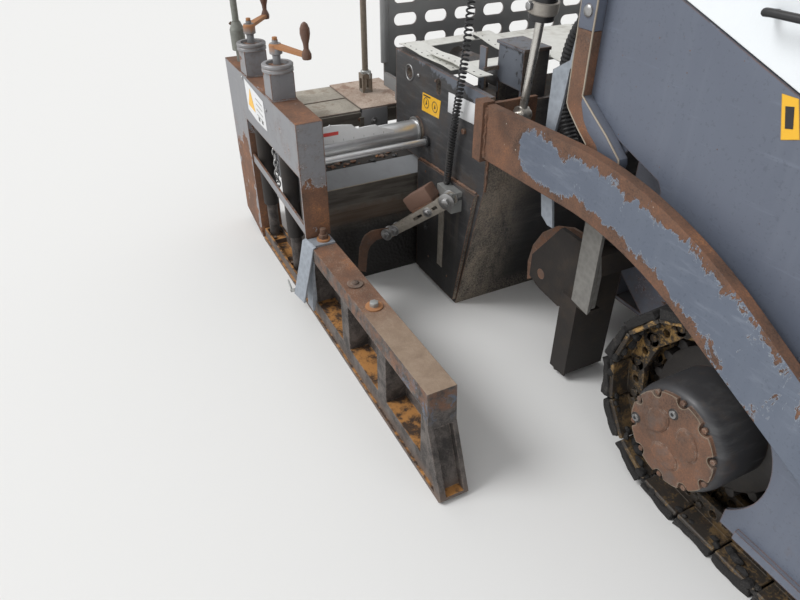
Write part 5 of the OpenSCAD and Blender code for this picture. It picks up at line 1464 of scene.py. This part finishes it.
seat = {"y": -0.600, "cushion": ((-0.640, -0.215, 1.430), (-0.220, 0.215, 1.530)), "puff": (0.016, 0.020),
        "back": ((-0.235, -0.200, -0.045), (0.235, 0.200, 0.045)), "backAt": (-0.6175, 1.7625), "lean": -96.5,
        "bellows": 5, "rests": (-0.1955, 0.1955), "soft": 0.75}


def pad(low, high, finish, puff):
    # upholstered pad: rounded block whose broad faces swell between the seams
    o = subdivided(block(low, high, finish, 0.028, 4), 3)
    mid = [(a + b) / 2 for a, b in zip(low, high)]
    half = [(b - a) / 2 for a, b in zip(low, high)]
    for v in o.data.vertices:
        u = (v.co.x - mid[0]) / half[0]
        w = (v.co.y - mid[1]) / half[1]
        dome = max(0.0, 1 - abs(u) ** 3) * max(0.0, 1 - abs(w) ** 3)
        seams = math.exp(-((abs(w) - 0.55) / 0.035) ** 2)
        groove = seams + math.exp(-((u + 0.05) / 0.03) ** 2) * (abs(w) < 0.55)
        if v.co.z > mid[2]:
            v.co.z += (dome - 1) * puff - groove * puff * 0.45
    return o


def makeSeats(s):
    y = s["y"]
    pads = [pad(*[(a, y + b, c) for a, b, c in s[name]], "vinyl", puff)
            for name, puff in zip(("cushion", "back"), s["puff"])]
    x, z = s["backAt"]
    lean = Matrix.Rotation(math.radians(s["lean"]), 4, "Y")
    pads[1].data.transform(Matrix.Translation((x, y, z)) @ lean @ Matrix.Translation((0, -y, 0)))
    frame = [block((-0.560, y - 0.100, 1.250), (-0.360, y + 0.100, 1.300), "black", 0.006)]
    for k in range(s["bellows"]):
        z = 1.298 + k * 0.026
        frame.append(block((-0.552, y - 0.092, z), (-0.368, y + 0.092, z + 0.020), "vinyl", 0.009, 3))
    frame.append(block((-0.600, y - 0.180, 1.424), (-0.260, y + 0.180, 1.434), "black", 0.003))
    for side in s["rests"]:
        a, b = y + side - 0.0225, y + side + 0.0225
        frame.append(block((-0.560, a, 1.450), (-0.520, b, 1.690), "black", 0.008, 3))
        frame.append(block((-0.580, a, 1.672), (-0.300, b, 1.720), "vinyl", 0.018, 4))
    for o in placed(pads, "seatPads*", "tractor", ["seats"], True, 0.9):
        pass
    placed(frame, "seatFrame*", "tractor", ["seats"])


console = {"screens": (-0.290, 0.290), "screenTurn": ((-0.040, 0, 1.780), -48),
           "slope": ((-0.090, 0, 1.726), -41.6), "switches": (-0.372, 0.152), "row": (4, 0.026),
           "gauges": (-0.100, 0, 0.100),
           "gauge": [(0.030, -0.004), (0.030, 0.006), (0.026, 0.008), (0.025, 0.004), (0, 0.004)]}


def tilted(parts, turn):
    # sets parts on a face that leans about the sideways axis
    spot, angle = turn
    for p in parts:
        p.data.transform(Matrix.Translation(spot) @ Matrix.Rotation(math.radians(angle), 4, "Y"))
    return parts


def makeConsoleFittings(s):
    parts = []
    for y in s["screens"]:
        parts.append(block((-0.080, y - 0.060, 0.0295), (0.050, y + 0.060, 0.0325), "screen", 0.001))
        for k in range(5):
            x, finish = -0.084 + k * 0.030, "red" if k == 2 else "zinc"
            parts.append(rod((x, y - 0.064, 0.030), (x, y - 0.064, 0.036), 0.005, finish, 0.001, 16))
    tilted(parts, s["screenTurn"])
    # gauges and switches on the sloping face
    face = [lathe(s["gauge"], (0.150, y, 0), "screen", 36) for y in s["gauges"]]
    count, step = s["row"]
    for first in s["switches"]:
        for k in range(count):
            y = first + k * step
            face.append(block((0.080, y, -0.002), (0.098, y + 0.014, 0.012), "black", 0.002))
    placed(parts + tilted(face, s["slope"]), "consoleFittings", "tractor", both=False)


lamp = {"y": -0.844, "z": 1.910, "wires": (6, 0.016),
        "screws": ((-0.055, 0.045), (0.055, 0.045), (-0.055, -0.045), (0.055, -0.045))}


def makeLamps(s):
    y, z = s["y"], s["z"]
    count, step = s["wires"]
    parts = [block((-0.0715, y - 0.049, z - 0.039), (-0.0640, y + 0.049, z + 0.039), "lens", 0.002)]
    for k in range(count):
        at = y - 0.040 + k * step
        parts.append(rod((-0.0635, at, z - 0.036), (-0.0635, at, z + 0.036), 0.0025, "lens", 0, 10))
    parts += bolts("dome", 0.004, "bare", forward, *[(-0.060, y + a, z + b) for a, b in s["screws"]])
    placed(parts, "lampLens*", "tractor")


railFeet = {"y": -0.844, "posts": (-0.770, -0.150), "along": (-0.032, 0.032), "across": (-0.010, 0.021),
            "bead": 0.0195}


def makeHandrailFeet(s):
    # bolts and weld bead at the foot of each handrail post
    parts = []
    y = s["y"]
    for x in s["posts"]:
        spots = [(x + a, y + b, 1.258) for a in s["along"] for b in s["across"]]
        parts += bolts("hex", 0.006, "zinc", upward, *spots)
        bead = sweep(ring((x, y, 1.259), s["bead"], 24, v=inward), 0.003, "yellow", 8, True)
        parts.append(roughened(bead, 90, 0.0015))
    placed(parts, "railFeet*", "tractor")


# Fittings of the walkway, the push rollers and the hopper

pole = {"at": (-2.285, -0.870, 0.712), "grips": (7, 1.512, 0.014),
        "collar": [(0.022, 0), (0.022, 0.010), (0.018, 0.014), (0.0145, 0.014)],
        "handle": [(0.0165, 0), (0.0185, 0.006), (0.0185, 0.120), (0.0160, 0.128), (0.0, 0.130)],
        "grip": [(0.0186, 0), (0.0198, 0.003), (0.0198, 0.006), (0.0186, 0.009)]}


def makePoleFittings(s):
    x, y, z = s["at"]
    parts = [lathe(s["collar"], (x, y, z), "zinc", 32),
             rod((x + 0.012, y, z + 0.006), (x + 0.055, y, z + 0.006), 0.004, "zinc", 0.001, 14),
             rod((x + 0.055, y, z - 0.012), (x + 0.055, y, z + 0.024), 0.0045, "zinc", 0.001, 14),
             lathe(s["handle"], (x, y, 1.500), "black", 28)]
    count, low, step = s["grips"]
    parts += [lathe(s["grip"], (x, y, low + k * step), "black", 24) for k in range(count)]
    placed(parts, "poleFittings*", "extension_*")


walkway = {"corners": ((-2.420, 0.620), (-2.105, 0.618)), "sides": (-1.290, -0.760),
           "front": (-1.25, -1.00, -0.80)}


def makeWalkwayBolts(s):
    spots = [(x, y, z) for x, z in s["corners"] for y in s["sides"]]
    parts = bolts("dome", 0.009, "rustyBolt", upward, *spots)
    parts += bolts("hex", 0.009, "rustyBolt", forward, *[(-2.069, y, 0.580) for y in s["front"]])
    placed(parts, "walkwayBolts*", "extension_*")


pushRoller = {"x": 2.450, "z": 0.450, "bands": (-0.600, -0.365, -0.130),
              "ends": ((-0.688, outward), (-0.042, inward)),
              "band": [(0.0555, 0), (0.0570, 0.003), (0.0570, 0.009), (0.0555, 0.012)],
              "end": [(0.016, 0), (0.021, 0.001), (0.021, 0.004), (0.0, 0.006)]}


def makeRollerBands(s):
    # rings worn into the push rollers' faces, and the ends of their axles
    parts = [lathe(s["band"], (s["x"], y, s["z"]), "bare", 40, outward) for y in s["bands"]]
    parts += [lathe(s["end"], (s["x"], y, s["z"]), "bare", 28, way) for y, way in s["ends"]]
    placed(parts, "rollerBands*", "push_roller_*")


flap = {"low": (2.281, -0.560, 0.335), "high": (2.289, 0.560, 0.545), "bolts": (9, -0.520, 0.130)}


def makeHopperFittings(s):
    # rubber flap along the front edge of the hopper floor, bolted on
    count, first, step = s["bolts"]
    spots = [(s["high"][0], first + step * k, 0.520) for k in range(count)]
    parts = [block(s["low"], s["high"], "rubberFlap", 0.002)]
    parts += bolts("washer", 0.011, "bare", forward, *spots)
    placed(parts, "hopperFlap", "tractor", both=False)


debris = {"count": 70, "x": (-1.905, -1.795), "y": (-1.340, -0.940), "z": 0.495, "sizes": (0.004, 0.013),
          "finishes": ("rustyBolt", "orangeRust", "orangeRust", "rusty", "black")}


def makeDebris(s):
    # flakes and grit that lie on the ledge behind the tubes
    parts = []
    for k in range(s["count"]):
        r = random.uniform(*s["sizes"])
        finish = random.choice(s["finishes"] + ("warning" if k % 9 == 0 else "rusty",))
        deselect()
        spot = (random.uniform(*s["x"]), random.uniform(*s["y"]), s["z"] + r * 0.3)
        bpy.ops.mesh.primitive_ico_sphere_add(subdivisions=1, radius=r, location=spot)
        o = bpy.context.object
        o.scale = (random.uniform(0.8, 1.7), random.uniform(0.8, 1.5), random.uniform(0.35, 0.7))
        o.rotation_euler = (0, 0, random.uniform(0, 6.28))
        parts.append(roughened(settle(o, finish), 120, r * 0.5, k))
    placed(parts, "ledgeDebris*", "extension_*", angle=0.3)


# Finish of each node of the frame; a rod or tube that isn't named is chrome and the rest is black

nodeFinish = {
    "chassis": "chassis", "tunnel": "chassis", "bulkheads": "chassis", "brackets": "chassis",
    "conveyor": "bare",
    "side_panels": "panel", "bodywork": "white", "hood_lid": "white", "engine": "cast", "platform": "black",
    "console": "black", "seats": "vinyl", "handrails": "yellow", "exhaust": "bare", "lamps": "black",
    "track_right": "rubber", "track_left": "rubber", "track_frames": "panel", "final_drives": "cast",
    "track_wheels": "cast", "push_beam": "chassis", "push_roller_right": "bare", "push_roller_left": "bare",
    # the auger support's near-black is grime and painted shade of the hollow between tracks and screed
    "auger_support": "grime", "auger_right": "rusty", "auger_left": "rusty", "wing_right": "hopper",
    "wing_left": "hopper", "screed_frame": "screed", "screed_covers": "dirtyWhite", "tow_arms": "arm",
    "guard_plate": "guard", "lift_rod_right": "rod", "lift_rod_left": "rod", "portal_right": "gate",
    "portal_left": "gate", "skid_right": "skid", "skid_left": "skid", "ext_box_right": "extension",
    "ext_box_left": "extension", "feed_sensors": "zinc", "control_boxes": "plastic",
    "sensor_cord_right": "plastic", "sensor_cord_left": "plastic", "hydraulic_hose": "plastic",
}


def offAxis(x, y):
    # distance from the nearer tower's axis
    return min(math.hypot(x - t, y + towers["y"]) for t in towers["x"])


# node, finish and a test on the middle of each face: x, distance from the middle plane, z
regions = (
    ("portal", "cap", lambda x, y, z: z > 0.9015 and offAxis(x, y) < 0.060),
    ("portal", "orangeRust", lambda x, y, z: 0.980 < z < 0.9985 and 0.010 < offAxis(x, y)),
    ("portal", "handle", lambda x, y, z: z > 0.970 and offAxis(x, y) > towers["crank"]),
    ("portal", "mast", lambda x, y, z: z > 0.8025 and abs(x + 2.415) < 0.040),
    ("ext_box", "boardGrey", lambda x, y, z: z > 0.575 and x < -2.075),
    ("ext_box", "grime", lambda x, y, z: 0.4940 < z < 0.4965 and x > -2.075),
    ("ext_box", "slope", lambda x, y, z: -1.79 < x < -1.706 and 0.4505 < z < 0.4940),
    ("ext_box", "pole", lambda x, y, z: z > 0.635 and abs(x + 2.285) < 0.025),
    ("portal", "grime", lambda x, y, z: z < 0.795 and offAxis(x, y) < 0.045),
    ("auger_support", "column", lambda x, y, z: -0.784 < x < -0.699 and y > 0.740 and z > 0.345),
    ("skid", "bracket", lambda x, y, z: abs(x + 1.509) < 0.034 and (y > 1.44 or z > 0.344)),
    ("side_panels", "stripRust", lambda x, y, z: 0.8640 < y < 0.8730 and z > 1.10),
    ("side_panels", "bracket", lambda x, y, z: y > 0.8855 and x < -0.80),
)


def dress(name, data):
    # the finish of the whole node, then those of its regions
    plain = "chrome" if "rod" in name or "tubes" in name else "black"
    rules = [(key, test) for start, key, test in regions if name.startswith(start)]
    data.materials.clear()
    for key in [nodeFinish.get(name, plain)] + [key for key, test in rules]:
        data.materials.append(finishes[key])
    for face in data.polygons:
        x, y, z = face.center
        for k, (key, test) in enumerate(rules, 1):
            if test(x, abs(y), z):
                face.material_index = k


for name, node in nodes.items():
    dress(name, node.data)
print("finishes:", len(finishes))
wire = curlyCord(curly)
corrugatedHose(hose)
print("curly cords, m of wire each:", round(wire, 2))
makeTracks(track)
print("tracks done")
makeGateLabels(gateLabels)
makeGateFasteners(towers)
makeWindowChain(windowChain)
makeSkidFasteners(skid)
makeScreedSide(screedSide)
makeScaleStrip(scale)
makeExtensionEdges(extensionEdges)
makeCovers(covers)
makeSensorArm(sensor)
print("gate and screed done")
makeFinalDrive(drive)
makeWheelFittings(frameBolts)
makeLiftCylinder(lift)
makeEdgeStrip(edgeStrip)
makePanelFittings(panel)
makeHoodFittings(hood)
makeArmFittings(towArm)
makeSeats(seat)
makeConsoleFittings(console)
makeLamps(lamp)
makeHandrailFeet(railFeet)
makePoleFittings(pole)
makeWalkwayBolts(walkway)
makeRollerBands(pushRoller)
makeHopperFittings(flap)
makeDebris(debris)
print("fittings done")
setCamera(view)
setStudio(studio)
